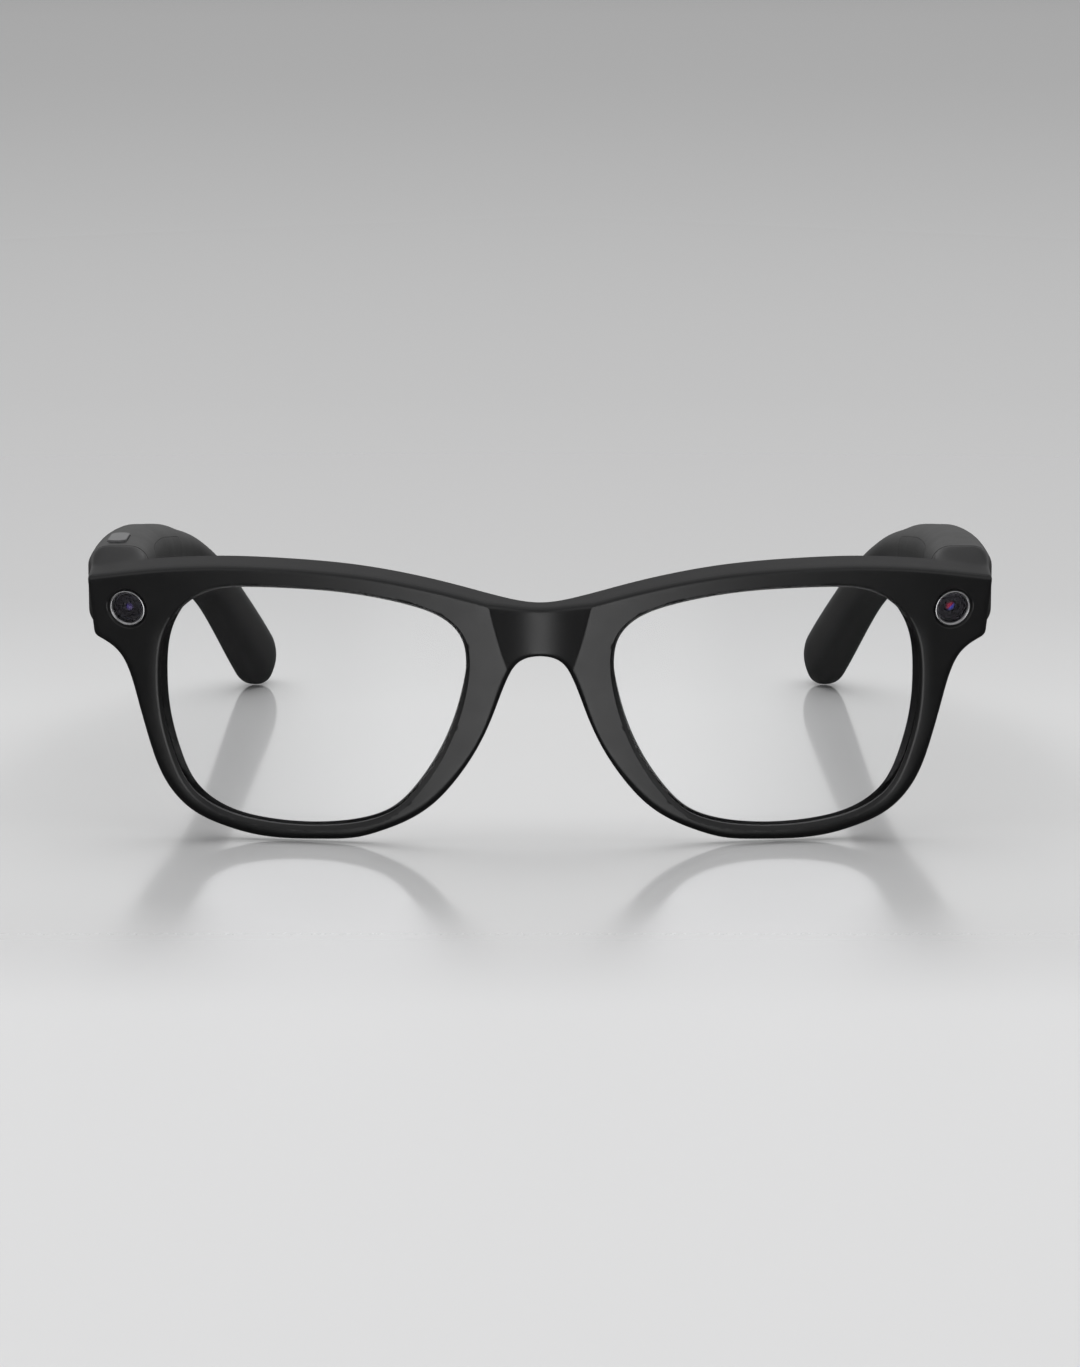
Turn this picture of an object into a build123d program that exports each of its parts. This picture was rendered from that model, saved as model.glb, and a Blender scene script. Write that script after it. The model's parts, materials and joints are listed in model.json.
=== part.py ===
"""Smart glasses: thick square front with a camera module and a capture light in the
end pieces, and two hollow folding temples that hold the electronics.

Frame: +Z up, +X towards the wearer's left, +Y from the front towards the ear tips.
Origin: centre of the footprint, on the surface the glasses stand on.
All dimensions are millimetres.
"""
from build123d import *
from math import asin, atan2, cos, degrees, radians, sin, sqrt
import os

os.makedirs("parts", exist_ok=True)

# ------------------------------------------------------------------ driving dimensions
front_y = -73.52            # where the brow's front face stands, behind the origin
floor_lift = -0.006            # raises everything so that the rims rest at z = 0
front_tilt = 10.0           # degrees, the brow leans forward
plan_radius = 260.0         # the front is a slice of this cylinder
brow_thickness = 6.0
rim_thickness = 3.6
front_height = 46.0

lens_radius = 140.0         # front surface of the lens, a base-4 curve
lens_thickness = 1.6
lens_centre_u = 36.2
lens_centre_v = 23.0
lens_edge = 0.8             # how far the lens reaches past the rim's lip
groove_depth = 0.9
groove_play = 0.1

scoop_radius = 12.5         # hollow in the front of the bridge
module_u = 65.9             # camera and capture light, from the middle of the front
module_v = 38.0
module_radius = 3.0
module_depth = 5.0

mate_y = 20.0               # joint face between end piece and temple
temple_gap = 0.3
inner_face_x = 63.2         # inner side of end piece and temple
hinge_x = 61.2
hinge_y = 20.15
knuckle_radius = 1.7
pin_radius = 0.7
pin_play = 0.05
leaf_thickness = 0.8

wall_x = 64.9               # seam plane between temple shell and inner cover
pocket_x = 72.1             # outer wall of the electronics pocket
pocket_y0, pocket_y1 = 25.5, 84.0
cover_y0, cover_y1 = 33.0, 86.0

button_travel = 0.4
slider_travel = 2.0

# ------------------------------------------------------------------ front geometry
t = radians(front_tilt)
up = Vector(0, -sin(t), cos(t))            # along the face, towards the brow
back = Vector(0, cos(t), sin(t))           # into the face
face_origin = Vector(0, front_y + 7.3, -0.3 + floor_lift)
face_plane = Plane(origin=face_origin, x_dir=(1, 0, 0), z_dir=-back)


def sag(u):
    return plan_radius - sqrt(plan_radius**2 - u * u)


def thickness(v):
    return rim_thickness + (brow_thickness - rim_thickness) * v / front_height


def on_face(u, v, w=0.0):
    """Point at u across, v up the face and w behind its front surface."""
    return face_origin + Vector(u, 0, 0) + up * v + back * (sag(u) + w)


def world(x, y, z):
    return Vector(x, y + front_y, z + floor_lift)


def curved_band(low, high, v_low=-4.0, v_high=52.0, half=84.0):
    """Slice of the front between two depths, given at its lower and upper end."""
    with BuildPart() as band:
        for v, (front, rear) in ((v_low, low), (v_high, high)):
            with BuildSketch(Plane(origin=face_origin + up * v, x_dir=(1, 0, 0), z_dir=up)):
                with BuildLine():
                    ThreePointArc((-half, sag(half) + front), (0, front), (half, sag(half) + front))
                    Line((half, sag(half) + front), (half, sag(half) + rear))
                    ThreePointArc((half, sag(half) + rear), (0, rear), (-half, sag(half) + rear))
                    Line((-half, sag(half) + rear), (-half, sag(half) + front))
                make_face()
        loft()
    return band.part


top_edge = [(-72.3, 42.8), (-66.3, 44.1), (-61.0, 45.1), (-55.9, 45.8), (-50.7, 46.3), (-43.0, 46.55),
            (-36.0, 46.45), (-29.0, 46.0), (-21.3, 44.9), (-13.7, 43.25), (-6.1, 41.25), (0.0, 40.3)]
lower_edge = [(-71.5, 32.7), (-69.6, 31.8), (-67.6, 30.2), (-66.0, 27.1), (-64.75, 22.4), (-63.3, 16.3),
              (-61.9, 11.25), (-60.0, 7.2), (-56.3, 3.4), (-51.5, 1.3), (-46.5, 0.1), (-41.0, -0.25),
              (-35.0, 0.0), (-29.4, 0.6), (-25.5, 1.9), (-21.6, 3.7), (-17.7, 6.4), (-13.9, 10.7),
              (-10.0, 17.0), (-7.6, 22.4), (-5.4, 28.3), (-3.6, 31.6), (0.0, 33.0)]
aperture = [(-46, 43.05), (-40.2, 43.2), (-34, 43.1), (-27.5, 42.5), (-21.2, 41.3), (-17.0, 39.95),
            (-14.2, 38.2), (-12.5, 36), (-11.7, 32), (-12.2, 27.2), (-13.7, 21.4), (-16.4, 15.1),
            (-19.8, 9.8), (-23.7, 5.8), (-28.5, 3.75), (-34, 2.8), (-40, 2.55), (-46.5, 3.1),
            (-52, 4.6), (-56.2, 7.6), (-58.9, 13.2), (-60.5, 20.2), (-60.8, 27), (-60.0, 33.3),
            (-57.6, 38), (-52.8, 41.8)]


def mirrored(points):
    return points + [(-u, v) for u, v in reversed(points[:-1])]


def aperture_points(side, grow=0.0):
    """Lens opening of one side, grown outwards by an even amount."""
    pts = []
    for (ua, va), (u, v), (ub, vb) in zip(aperture[-1:] + aperture, aperture, aperture[1:] + aperture[:1]):
        du, dv = ub - ua, vb - va
        run = sqrt(du * du + dv * dv)
        pts.append((-side * (u - grow * dv / run), v + grow * du / run))
    return pts


def brow_line(u):
    """Middle of the wiring channel, a fixed distance under the top edge."""
    pts = mirrored(top_edge)
    for (u0, v0), (u1, v1) in zip(pts, pts[1:]):
        if u0 <= u <= u1:
            return v0 + (v1 - v0) * (u - u0) / (u1 - u0) - 1.65
    return top_edge[0][1] - 1.65


def brow_strip(half_height, reach, low, high):
    """Strip that follows the brow, between two depths."""
    us = [reach * k / 8 for k in range(-8, 9)]
    with BuildPart() as strip:
        with BuildSketch(face_plane):
            with BuildLine():
                Spline(*[(u, brow_line(u) + half_height) for u in us])
                Spline(*[(u, brow_line(u) - half_height) for u in us])
                Line((us[0], brow_line(us[0]) + half_height), (us[0], brow_line(us[0]) - half_height))
                Line((us[-1], brow_line(us[-1]) + half_height), (us[-1], brow_line(us[-1]) - half_height))
            make_face()
        extrude(amount=-30)
        add(curved_band(low, high), mode=Mode.INTERSECT)
    return strip.part


def module_plane(side):
    """Plane of a front module's face, z towards the viewer."""
    u = side * module_u
    a = asin(u / plan_radius)
    normal = Vector(sin(a), 0, 0) - back * cos(a)
    tangent = Vector(cos(a), 0, 0) + back * sin(a)
    return Plane(origin=on_face(u, module_v), x_dir=tangent, z_dir=normal)


def lens_sphere_centre(side):
    u = side * lens_centre_u
    a = asin(u / plan_radius)
    inward = back * cos(a) - Vector(sin(a), 0, 0)
    return on_face(u, lens_centre_v, -0.4) + inward * lens_radius


def lens_blank(side, edge, front_play, rear_play):
    centre = lens_sphere_centre(side)
    with BuildPart() as blank:
        with BuildSketch(face_plane):
            with BuildLine():
                Spline(*aperture_points(side, edge), periodic=True)
            make_face()
        extrude(amount=-25)
        with Locations(centre):
            Sphere(lens_radius + front_play, mode=Mode.INTERSECT)
            Sphere(lens_radius - lens_thickness - rear_play, mode=Mode.SUBTRACT)
    return blank.part


rear_low = thickness(-4.0)
rear_high = thickness(52.0)
slab = curved_band((0.0, rear_low), (0.0, rear_high))
channel = brow_strip(0.75, 60.0, (3.6, rear_low + 1), (3.6, rear_high + 1))
bridge_rear = Plane(origin=face_origin + up * 35.9 + back * thickness(35.9), x_dir=(1, 0, 0), z_dir=back)
scoop_tilt = radians(9.3)
scoop_axis = (up * cos(scoop_tilt) + back * sin(scoop_tilt))
scoop_plane = Plane(origin=face_origin + up * 41 + back * (2.3 - scoop_radius), x_dir=(1, 0, 0), z_dir=scoop_axis)
leaf_z = (38.6, 41.6)       # heights of the small screws through each hinge leaf
front_screws = [(15.9, z) for z in leaf_z]
temple_screws = [(24.0, leaf_z[0] + 1.4), (28.6, leaf_z[0] + 1.4)]


def hinge_plane(z):
    return Plane.XY.offset(z + floor_lift)


def root_profile(y, corners, radius):
    plane = Plane(origin=world(0, y, 0), x_dir=(1, 0, 0), z_dir=(0, -1, 0))
    with BuildSketch(plane) as s:
        with BuildLine():
            Polyline(*corners, close=True)
        make_face()
        fillet(s.vertices(), radius)
    return s.sketch


# ------------------------------------------------------------------ front frame
with BuildPart() as front_frame:
    with BuildSketch(face_plane):
        with BuildLine():
            Spline(*mirrored(top_edge))
            Spline(*mirrored(lower_edge))
            Line(top_edge[0], lower_edge[0])
            Line((-top_edge[0][0], top_edge[0][1]), (-lower_edge[0][0], lower_edge[0][1]))
        make_face()
    extrude(amount=-30)
    add(slab, mode=Mode.INTERSECT)
    # end pieces reach back to the temples
    for side in (-1, 1):
        near = [(side * 72.2, 34.0), (side * 72.2, 43.9), (side * 63.2, 45.5), (side * 63.2, 34.0)]
        far = [(side * 73.1, 33.5), (side * 73.1, 46.9), (side * 63.2, 46.9), (side * 63.2, 33.5)]
        with BuildPart(mode=Mode.PRIVATE) as block:
            add(root_profile(12.0, near, 0.8))
            add(root_profile(mate_y, far, 3.2))
            loft()
        add(block.part)
    # nose pads moulded onto the rear of the nose rims
    for side in (-1, 1):
        with BuildPart(mode=Mode.PRIVATE) as pad:
            for w, du, a, b in ((2.5, 10.3, 7.6, 2.3), (7.0, 10.9, 6.4, 1.9), (9.6, 11.6, 4.6, 1.3)):
                spot = face_origin + back * w + up * 20.5 + Vector(side * du, 0, 0)
                lean = Vector(-side * sin(radians(24)), 0, 0) + up * cos(radians(24))
                with BuildSketch(Plane(origin=spot, x_dir=lean, z_dir=back)):
                    Ellipse(a, b)
            loft()
        add(pad.part)
    # lens openings and their grooves
    for side in (-1, 1):
        with BuildSketch(face_plane):
            with BuildLine():
                Spline(*aperture_points(side), periodic=True)
            make_face()
        extrude(amount=-25, mode=Mode.SUBTRACT)
    for side in (-1, 1):
        add(lens_blank(side, groove_depth, groove_play, groove_play), mode=Mode.SUBTRACT)
    # hollow of the bridge
    with Locations(scoop_plane):
        Cylinder(scoop_radius, 34, mode=Mode.SUBTRACT)
    # wiring channel along the rear of the brow
    add(channel, mode=Mode.SUBTRACT)
    # pockets for camera and capture light, with a shallow step round each ring
    for side in (-1, 1):
        with BuildSketch(module_plane(side).offset(2)):
            Circle(module_radius)
        extrude(amount=-(2 + module_depth), mode=Mode.SUBTRACT)
        with BuildSketch(module_plane(side).offset(2)):
            Circle(module_radius + 0.45)
        extrude(amount=-2.3, mode=Mode.SUBTRACT)
    # seat of the charging contacts, with a deeper pocket for the microphone
    with BuildSketch(bridge_rear.offset(1)):
        Rectangle(10.6, 3.6)
    extrude(amount=-2.4, mode=Mode.SUBTRACT)
    with BuildSketch(bridge_rear):
        Rectangle(3.0, 2.2)
    extrude(amount=-2.3, mode=Mode.SUBTRACT)
    # holes for the small screws of the front hinge leaves
    for side in (-1, 1):
        for y, z in front_screws:
            with BuildSketch(Plane(origin=world(side * inner_face_x, y, z), x_dir=(0, 1, 0), z_dir=(side, 0, 0))):
                Circle(0.5)
            extrude(amount=2.6, mode=Mode.SUBTRACT)
front_frame.part.label = "front_frame"
export_step(front_frame.part, "parts/front_frame.step")

# ------------------------------------------------------------------ lenses
with BuildPart() as lens_right:
    add(lens_blank(-1, lens_edge, 0, 0))
lens_right.part.label = "lens_right"
export_step(lens_right.part, "parts/lens_right.step")

with BuildPart() as lens_left:
    add(lens_blank(1, lens_edge, 0, 0))
lens_left.part.label = "lens_left"
export_step(lens_left.part, "parts/lens_left.step")

# ------------------------------------------------------------------ brow wiring
with BuildPart() as brow_rear_cover:
    add(brow_strip(0.75, 60.0, (5.0, rear_low), (5.0, rear_high)))
brow_rear_cover.part.label = "brow_rear_cover"
export_step(brow_rear_cover.part, "parts/brow_rear_cover.step")

with BuildPart() as front_flex_circuit:
    add(brow_strip(0.5, 59.0, (4.2, 4.45), (4.2, 4.45)))
front_flex_circuit.part.label = "front_flex_circuit"
export_step(front_flex_circuit.part, "parts/front_flex_circuit.step")

# ------------------------------------------------------------------ bridge contacts and microphone
with BuildPart() as charge_contact_carrier:
    with BuildSketch(bridge_rear.offset(0.12)):
        Rectangle(10.6, 3.6)
    extrude(amount=-1.52)
    with BuildSketch(bridge_rear.offset(1)):
        with Locations((-3.2, 0), (3.2, 0)):
            Circle(0.9)
    extrude(amount=-3, mode=Mode.SUBTRACT)
charge_contact_carrier.part.label = "charge_contact_carrier"
export_step(charge_contact_carrier.part, "parts/charge_contact_carrier.step")

with BuildPart() as charge_contacts:
    with BuildSketch(bridge_rear.offset(0.12)):
        with Locations((-3.2, 0), (3.2, 0)):
            Circle(0.9)
    extrude(amount=-1.52)
charge_contacts.part.label = "charge_contacts"
export_step(charge_contacts.part, "parts/charge_contacts.step")

with BuildPart() as bridge_microphone:
    with BuildSketch(bridge_rear.offset(-1.4)):
        Rectangle(2.8, 2.0)
    extrude(amount=-0.85)
bridge_microphone.part.label = "bridge_microphone"
export_step(bridge_microphone.part, "parts/bridge_microphone.step")


# ------------------------------------------------------------------ front modules
def bezel_ring(side):
    with BuildPart() as ring:
        with BuildSketch(module_plane(side).offset(0.1)):
            Circle(module_radius - 0.02)
            Circle(2.45, mode=Mode.SUBTRACT)
        extrude(amount=-1.7)
    return ring.part


def cover_glass(side):
    with BuildPart() as glass:
        with BuildSketch(module_plane(side).offset(-0.3)):
            Circle(2.43)
        extrude(amount=-0.6)
    return glass.part


with BuildPart() as camera_bezel_ring:
    add(bezel_ring(1))
camera_bezel_ring.part.label = "camera_bezel_ring"
export_step(camera_bezel_ring.part, "parts/camera_bezel_ring.step")

with BuildPart() as camera_cover_glass:
    add(cover_glass(1))
camera_cover_glass.part.label = "camera_cover_glass"
export_step(camera_cover_glass.part, "parts/camera_cover_glass.step")

with BuildPart() as camera_lens_barrel:
    with BuildSketch(module_plane(1).offset(-0.95)):
        Circle(2.2)
    extrude(amount=-2.9)
    with BuildSketch(module_plane(1).offset(-0.95)):
        Circle(1.6)
    extrude(amount=-0.9, taper=24, mode=Mode.SUBTRACT)
camera_lens_barrel.part.label = "camera_lens_barrel"
export_step(camera_lens_barrel.part, "parts/camera_lens_barrel.step")

with BuildPart() as camera_lens_element:
    with BuildSketch(module_plane(1).offset(-1.85)):
        Circle(1.1)
    extrude(amount=0.35, taper=25)
camera_lens_element.part.label = "camera_lens_element"
export_step(camera_lens_element.part, "parts/camera_lens_element.step")

with BuildPart() as camera_sensor_board:
    with BuildSketch(module_plane(1).offset(-3.9)):
        Rectangle(4.0, 4.0)
    extrude(amount=-0.6)
camera_sensor_board.part.label = "camera_sensor_board"
export_step(camera_sensor_board.part, "parts/camera_sensor_board.step")

with BuildPart() as led_bezel_ring:
    add(bezel_ring(-1))
led_bezel_ring.part.label = "led_bezel_ring"
export_step(led_bezel_ring.part, "parts/led_bezel_ring.step")

with BuildPart() as led_cover_glass:
    add(cover_glass(-1))
led_cover_glass.part.label = "led_cover_glass"
export_step(led_cover_glass.part, "parts/led_cover_glass.step")

with BuildPart() as led_light_guide:
    with BuildSketch(module_plane(-1).offset(-0.95)):
        Circle(2.2)
    extrude(amount=-2.4)
    with BuildSketch(module_plane(-1).offset(-0.95)):
        Circle(1.5)
    extrude(amount=-0.8, taper=30, mode=Mode.SUBTRACT)
led_light_guide.part.label = "led_light_guide"
export_step(led_light_guide.part, "parts/led_light_guide.step")

with BuildPart() as capture_led_board:
    with BuildSketch(module_plane(-1).offset(-3.9)):
        Rectangle(3.8, 3.8)
    extrude(amount=-0.5)
    with BuildSketch(module_plane(-1).offset(-3.9)):
        Rectangle(1.6, 1.6)
    extrude(amount=0.5)
capture_led_board.part.label = "capture_led_board"
export_step(capture_led_board.part, "parts/capture_led_board.step")

# ------------------------------------------------------------------ hinges
knuckle_front = ((36.8, 38.85), (41.15, 43.2))
knuckle_temple = (38.95, 41.05)


def front_leaf(side):
    """Plate on the inner side of the end piece, with an upper and a lower knuckle."""
    with BuildPart() as leaf:
        with BuildSketch(hinge_plane(knuckle_front[0][0])):
            with Locations((side * (inner_face_x - leaf_thickness / 2), 16.4 + front_y)):
                Rectangle(leaf_thickness, 4.0)
        extrude(amount=knuckle_front[1][1] - knuckle_front[0][0])
        for z0, z1 in knuckle_front:
            with BuildSketch(hinge_plane(z0)):
                with Locations((side * hinge_x, hinge_y + front_y)):
                    Circle(knuckle_radius)
                with Locations((side * (inner_face_x - 0.9), 18.2 + front_y)):
                    Rectangle(1.8, 2.4)
            extrude(amount=z1 - z0)
        with BuildSketch(hinge_plane(knuckle_front[0][0] - 1)):
            with Locations((side * hinge_x, hinge_y + front_y)):
                Circle(pin_radius)
        extrude(amount=9, mode=Mode.SUBTRACT)
        for y, z in front_screws:
            with BuildSketch(Plane(origin=world(side * 62, y, z), x_dir=(0, 1, 0), z_dir=(side, 0, 0))):
                Circle(0.5)
            extrude(amount=2.0, mode=Mode.SUBTRACT)
    return leaf.part


def temple_leaf(side):
    """Plate on the inner side of the temple, with the middle knuckle."""
    with BuildPart() as leaf:
        with BuildSketch(hinge_plane(37.6)):
            with Locations((side * (inner_face_x - leaf_thickness / 2), 26.4 + front_y)):
                Rectangle(leaf_thickness, 8.2)
        extrude(amount=4.8)
        with BuildSketch(hinge_plane(knuckle_temple[0])):
            with Locations((side * hinge_x, hinge_y + front_y)):
                Circle(knuckle_radius)
            with Locations((side * (inner_face_x - 0.9), 21.85 + front_y)):
                Rectangle(1.8, 2.7)
        extrude(amount=knuckle_temple[1] - knuckle_temple[0])
        with BuildSketch(hinge_plane(37)):
            with Locations((side * hinge_x, hinge_y + front_y)):
                Circle(pin_radius + pin_play)
        extrude(amount=9, mode=Mode.SUBTRACT)
        for y, z in temple_screws:
            with BuildSketch(Plane(origin=world(side * 62, y, z), x_dir=(0, 1, 0), z_dir=(side, 0, 0))):
                Circle(0.5)
            extrude(amount=2.0, mode=Mode.SUBTRACT)
    return leaf.part


def hinge_screw(side):
    """Pivot screw, head up, held in the front leaf."""
    with BuildPart() as screw:
        with BuildSketch(hinge_plane(36.6)):
            with Locations((side * hinge_x, hinge_y + front_y)):
                Circle(pin_radius)
        extrude(amount=6.6)
        with BuildSketch(hinge_plane(43.2)):
            with Locations((side * hinge_x, hinge_y + front_y)):
                Circle(1.25)
        extrude(amount=0.6)
        with BuildSketch(hinge_plane(43.8)):
            with Locations((side * hinge_x, hinge_y + front_y)):
                Rectangle(0.3, 1.7)
        extrude(amount=-0.3, mode=Mode.SUBTRACT)
    return screw.part


def leaf_screws(places, sides, length):
    """Small screws through a hinge leaf."""
    with BuildPart() as screws:
        for side in sides:
            for y, z in places:
                with BuildSketch(Plane(origin=world(side * (inner_face_x - leaf_thickness), y, z), x_dir=(0, 1, 0),
                                       z_dir=(side, 0, 0))):
                    Circle(0.5)
                extrude(amount=length)
                with BuildSketch(Plane(origin=world(side * (inner_face_x - leaf_thickness), y, z), x_dir=(0, 1, 0),
                                       z_dir=(-side, 0, 0))):
                    Circle(0.85)
                extrude(amount=0.28)
    return screws.part


with BuildPart() as hinge_leaf_front_right:
    add(front_leaf(-1))
hinge_leaf_front_right.part.label = "hinge_leaf_front_right"
export_step(hinge_leaf_front_right.part, "parts/hinge_leaf_front_right.step")

with BuildPart() as hinge_leaf_front_left:
    add(front_leaf(1))
hinge_leaf_front_left.part.label = "hinge_leaf_front_left"
export_step(hinge_leaf_front_left.part, "parts/hinge_leaf_front_left.step")

with BuildPart() as hinge_screw_right:
    add(hinge_screw(-1))
hinge_screw_right.part.label = "hinge_screw_right"
export_step(hinge_screw_right.part, "parts/hinge_screw_right.step")

with BuildPart() as hinge_screw_left:
    add(hinge_screw(1))
hinge_screw_left.part.label = "hinge_screw_left"
export_step(hinge_screw_left.part, "parts/hinge_screw_left.step")

with BuildPart() as leaf_screws_front:
    add(leaf_screws(front_screws, (-1, 1), 3.2))
leaf_screws_front.part.label = "leaf_screws_front"
export_step(leaf_screws_front.part, "parts/leaf_screws_front.step")

with BuildPart() as hinge_leaf_temple_right:
    add(temple_leaf(-1))
hinge_leaf_temple_right.part.label = "hinge_leaf_temple_right"
export_step(hinge_leaf_temple_right.part, "parts/hinge_leaf_temple_right.step")

with BuildPart() as hinge_leaf_temple_left:
    add(temple_leaf(1))
hinge_leaf_temple_left.part.label = "hinge_leaf_temple_left"
export_step(hinge_leaf_temple_left.part, "parts/hinge_leaf_temple_left.step")

with BuildPart() as leaf_screws_temple_right:
    add(leaf_screws(temple_screws, (-1,), 2.3))
leaf_screws_temple_right.part.label = "leaf_screws_temple_right"
export_step(leaf_screws_temple_right.part, "parts/leaf_screws_temple_right.step")

with BuildPart() as leaf_screws_temple_left:
    add(leaf_screws(temple_screws, (1,), 2.3))
leaf_screws_temple_left.part.label = "leaf_screws_temple_left"
export_step(leaf_screws_temple_left.part, "parts/leaf_screws_temple_left.step")

# ------------------------------------------------------------------ temples
# right temple, station by station: centre x, y, z, height, thickness, edge radius
stations = [
    (-68.15, 20.3, 40.20, 13.4, 9.9, 3.2),
    (-68.40, 29.0, 39.85, 13.8, 10.4, 4.0),
    (-68.50, 38.0, 39.45, 14.1, 10.6, 4.5),
    (-68.50, 47.0, 38.70, 14.1, 10.6, 4.7),
    (-68.50, 55.9, 37.65, 14.0, 10.6, 4.7),
    (-68.50, 64.8, 36.35, 13.8, 10.6, 4.7),
    (-68.50, 73.7, 35.05, 13.6, 10.5, 4.7),
    (-68.35, 82.6, 33.85, 13.2, 10.1, 4.5),
    (-67.95, 91.5, 32.60, 12.3, 9.2, 4.1),
    (-67.10, 100.4, 31.20, 11.1, 8.0, 3.6),
    (-65.60, 109.1, 29.50, 10.1, 6.9, 3.1),
    (-63.40, 117.2, 26.50, 9.4, 6.2, 2.8),
    (-60.90, 124.6, 21.90, 9.4, 6.1, 2.7),
    (-58.45, 131.0, 16.10, 10.0, 6.3, 2.8),
    (-56.15, 137.0, 10.16, 10.7, 6.6, 2.9),
    (-54.60, 140.9, 6.12, 10.9, 6.6, 2.9),
]


def direction(i):
    a = stations[max(i - 1, 0)]
    b = stations[min(i + 1, len(stations) - 1)]
    return Vector(b[0] - a[0], b[1] - a[1], b[2] - a[2]).normalized()


def station_plane(i, along=0.0):
    x, y, z = stations[i][:3]
    run = Vector(0, 1, 0) if i == 0 else direction(i)
    sideways = run.cross(Vector(0, 0, 1)).normalized()
    return Plane(origin=world(x, y, z) + run * along, x_dir=sideways, z_dir=run)


def station_point(i, rise):
    """(y, z) on the temple's side view, rise above (+) or below (-) the centre line."""
    x, y, z = stations[i][:3]
    run = Vector(0, 1, 0) if i == 0 else direction(i)
    level = sqrt(run.Y**2 + run.Z**2)
    return (y - rise * run.Z / level, z + rise * run.Y / level)


def side_profile(y0, y1, inset):
    """Side view of the temple between y0 and y1, drawn inset from its upper and lower edge."""
    def sample(sign):
        edge = [station_point(i, sign * (stations[i][3] / 2 - inset)) for i in range(12)]
        pts = []
        for k in range(9):
            y = y0 + (y1 - y0) * k / 8
            for (ya, za), (yb, zb) in zip(edge, edge[1:]):
                if ya <= y <= yb:
                    pts.append((y, za + (zb - za) * (y - ya) / (yb - ya)))
                    break
        return pts
    return sample(1), sample(-1)


def side_prism(x, depth, y0, y1, inset, radius):
    """Prism with the temple's side view, from the plane at x outwards by depth."""
    upper, lower = side_profile(y0, y1, inset)
    plane = Plane(origin=world(-x, 0, 0), x_dir=(0, -1, 0), z_dir=(-1, 0, 0))
    with BuildPart() as body:
        with BuildSketch(plane) as s:
            with BuildLine():
                Spline(*[(-y, z) for y, z in upper])
                Spline(*[(-y, z) for y, z in lower])
                Line((-upper[0][0], upper[0][1]), (-lower[0][0], lower[0][1]))
                Line((-upper[-1][0], upper[-1][1]), (-lower[-1][0], lower[-1][1]))
            make_face()
            fillet(s.vertices(), radius)
        extrude(amount=depth)
    return body.part


def temple_blank():
    """Solid right temple, lofted through its stations and closed by a rounded tip."""
    with BuildPart() as blank:
        for i, (x, y, z, height, width, radius) in enumerate(stations):
            with BuildSketch(station_plane(i)):
                RectangleRounded(width, height, radius)
        last = len(stations) - 1
        x, y, z, height, width, radius = stations[last]
        for along, k in ((2.6, 0.93), (4.6, 0.74), (5.8, 0.46), (6.3, 0.2)):
            with BuildSketch(station_plane(last, along)):
                RectangleRounded(width * k**0.6, height * k, min(radius, width * k**0.6 * 0.47, height * k * 0.47))
        loft(ruled=False)
    return blank.part


blank_right = temple_blank()
pocket = side_prism(wall_x, pocket_x - wall_x, pocket_y0, pocket_y1, 3.0, 1.2)
cover_recess = side_prism(wall_x - 2.5, 2.5, cover_y0, cover_y1, 2.2, 2.4)
button_y, button_x = 28.6, -68.9
speaker_slot_y = 74.5


def box_between(x0, x1, y0, y1, z0, z1):
    """Plain block between two corners."""
    with BuildPart() as block:
        with BuildSketch(Plane(origin=world((x0 + x1) / 2, (y0 + y1) / 2, z0), x_dir=(1, 0, 0), z_dir=(0, 0, 1))):
            Rectangle(abs(x1 - x0), abs(y1 - y0))
        extrude(amount=z1 - z0)
    return block.part


def button_profile(length, width):
    return SlotOverall(length, width, rotation=90)


with BuildPart() as shell_common:
    add(blank_right)
    # flat seat of the hinge leaf
    add(box_between(-inner_face_x, -inner_face_x + 1.5, 19.0, 32.0, 36.5, 43.5), mode=Mode.SUBTRACT)
    add(pocket, mode=Mode.SUBTRACT)
    add(cover_recess, mode=Mode.SUBTRACT)
    for y, z in temple_screws:
        with BuildSketch(Plane(origin=world(-inner_face_x, y, z), x_dir=(0, 1, 0), z_dir=(-1, 0, 0))):
            Circle(0.5)
        extrude(amount=1.5, mode=Mode.SUBTRACT)
    # speaker outlet through the lower wall
    with BuildSketch(Plane(origin=world(-68.0, speaker_slot_y, 20), x_dir=(1, 0, 0), z_dir=(0, 0, 1))):
        SlotOverall(9.0, 1.8, rotation=90)
    extrude(amount=15, mode=Mode.SUBTRACT)

with BuildPart() as temple_shell_right:
    add(shell_common.part)
    # well of the capture button, through the upper wall
    with BuildSketch(Plane(origin=world(button_x, button_y, 40), x_dir=(1, 0, 0), z_dir=(0, 0, 1))):
        button_profile(9.3, 3.3)
    extrude(amount=10, mode=Mode.SUBTRACT)
temple_shell_right.part.label = "temple_shell_right"
export_step(temple_shell_right.part, "parts/temple_shell_right.step")

with BuildPart() as temple_shell_left:
    mirror(shell_common.part, about=Plane.YZ)
temple_shell_left.part.label = "temple_shell_left"
export_step(temple_shell_left.part, "parts/temple_shell_left.step")

with BuildPart() as cover_common:
    add(blank_right)
    add(cover_recess, mode=Mode.INTERSECT)

with BuildPart() as temple_cover_right:
    add(cover_common.part)
temple_cover_right.part.label = "temple_cover_right"
export_step(temple_cover_right.part, "parts/temple_cover_right.step")

# slider of the power switch runs in a slot of the left cover
switch_y, switch_z = 41.0, 39.2


def switch_plane(x):
    return Plane(origin=world(x, switch_y, switch_z), x_dir=(0, 1, 0), z_dir=(1, 0, 0))


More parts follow.
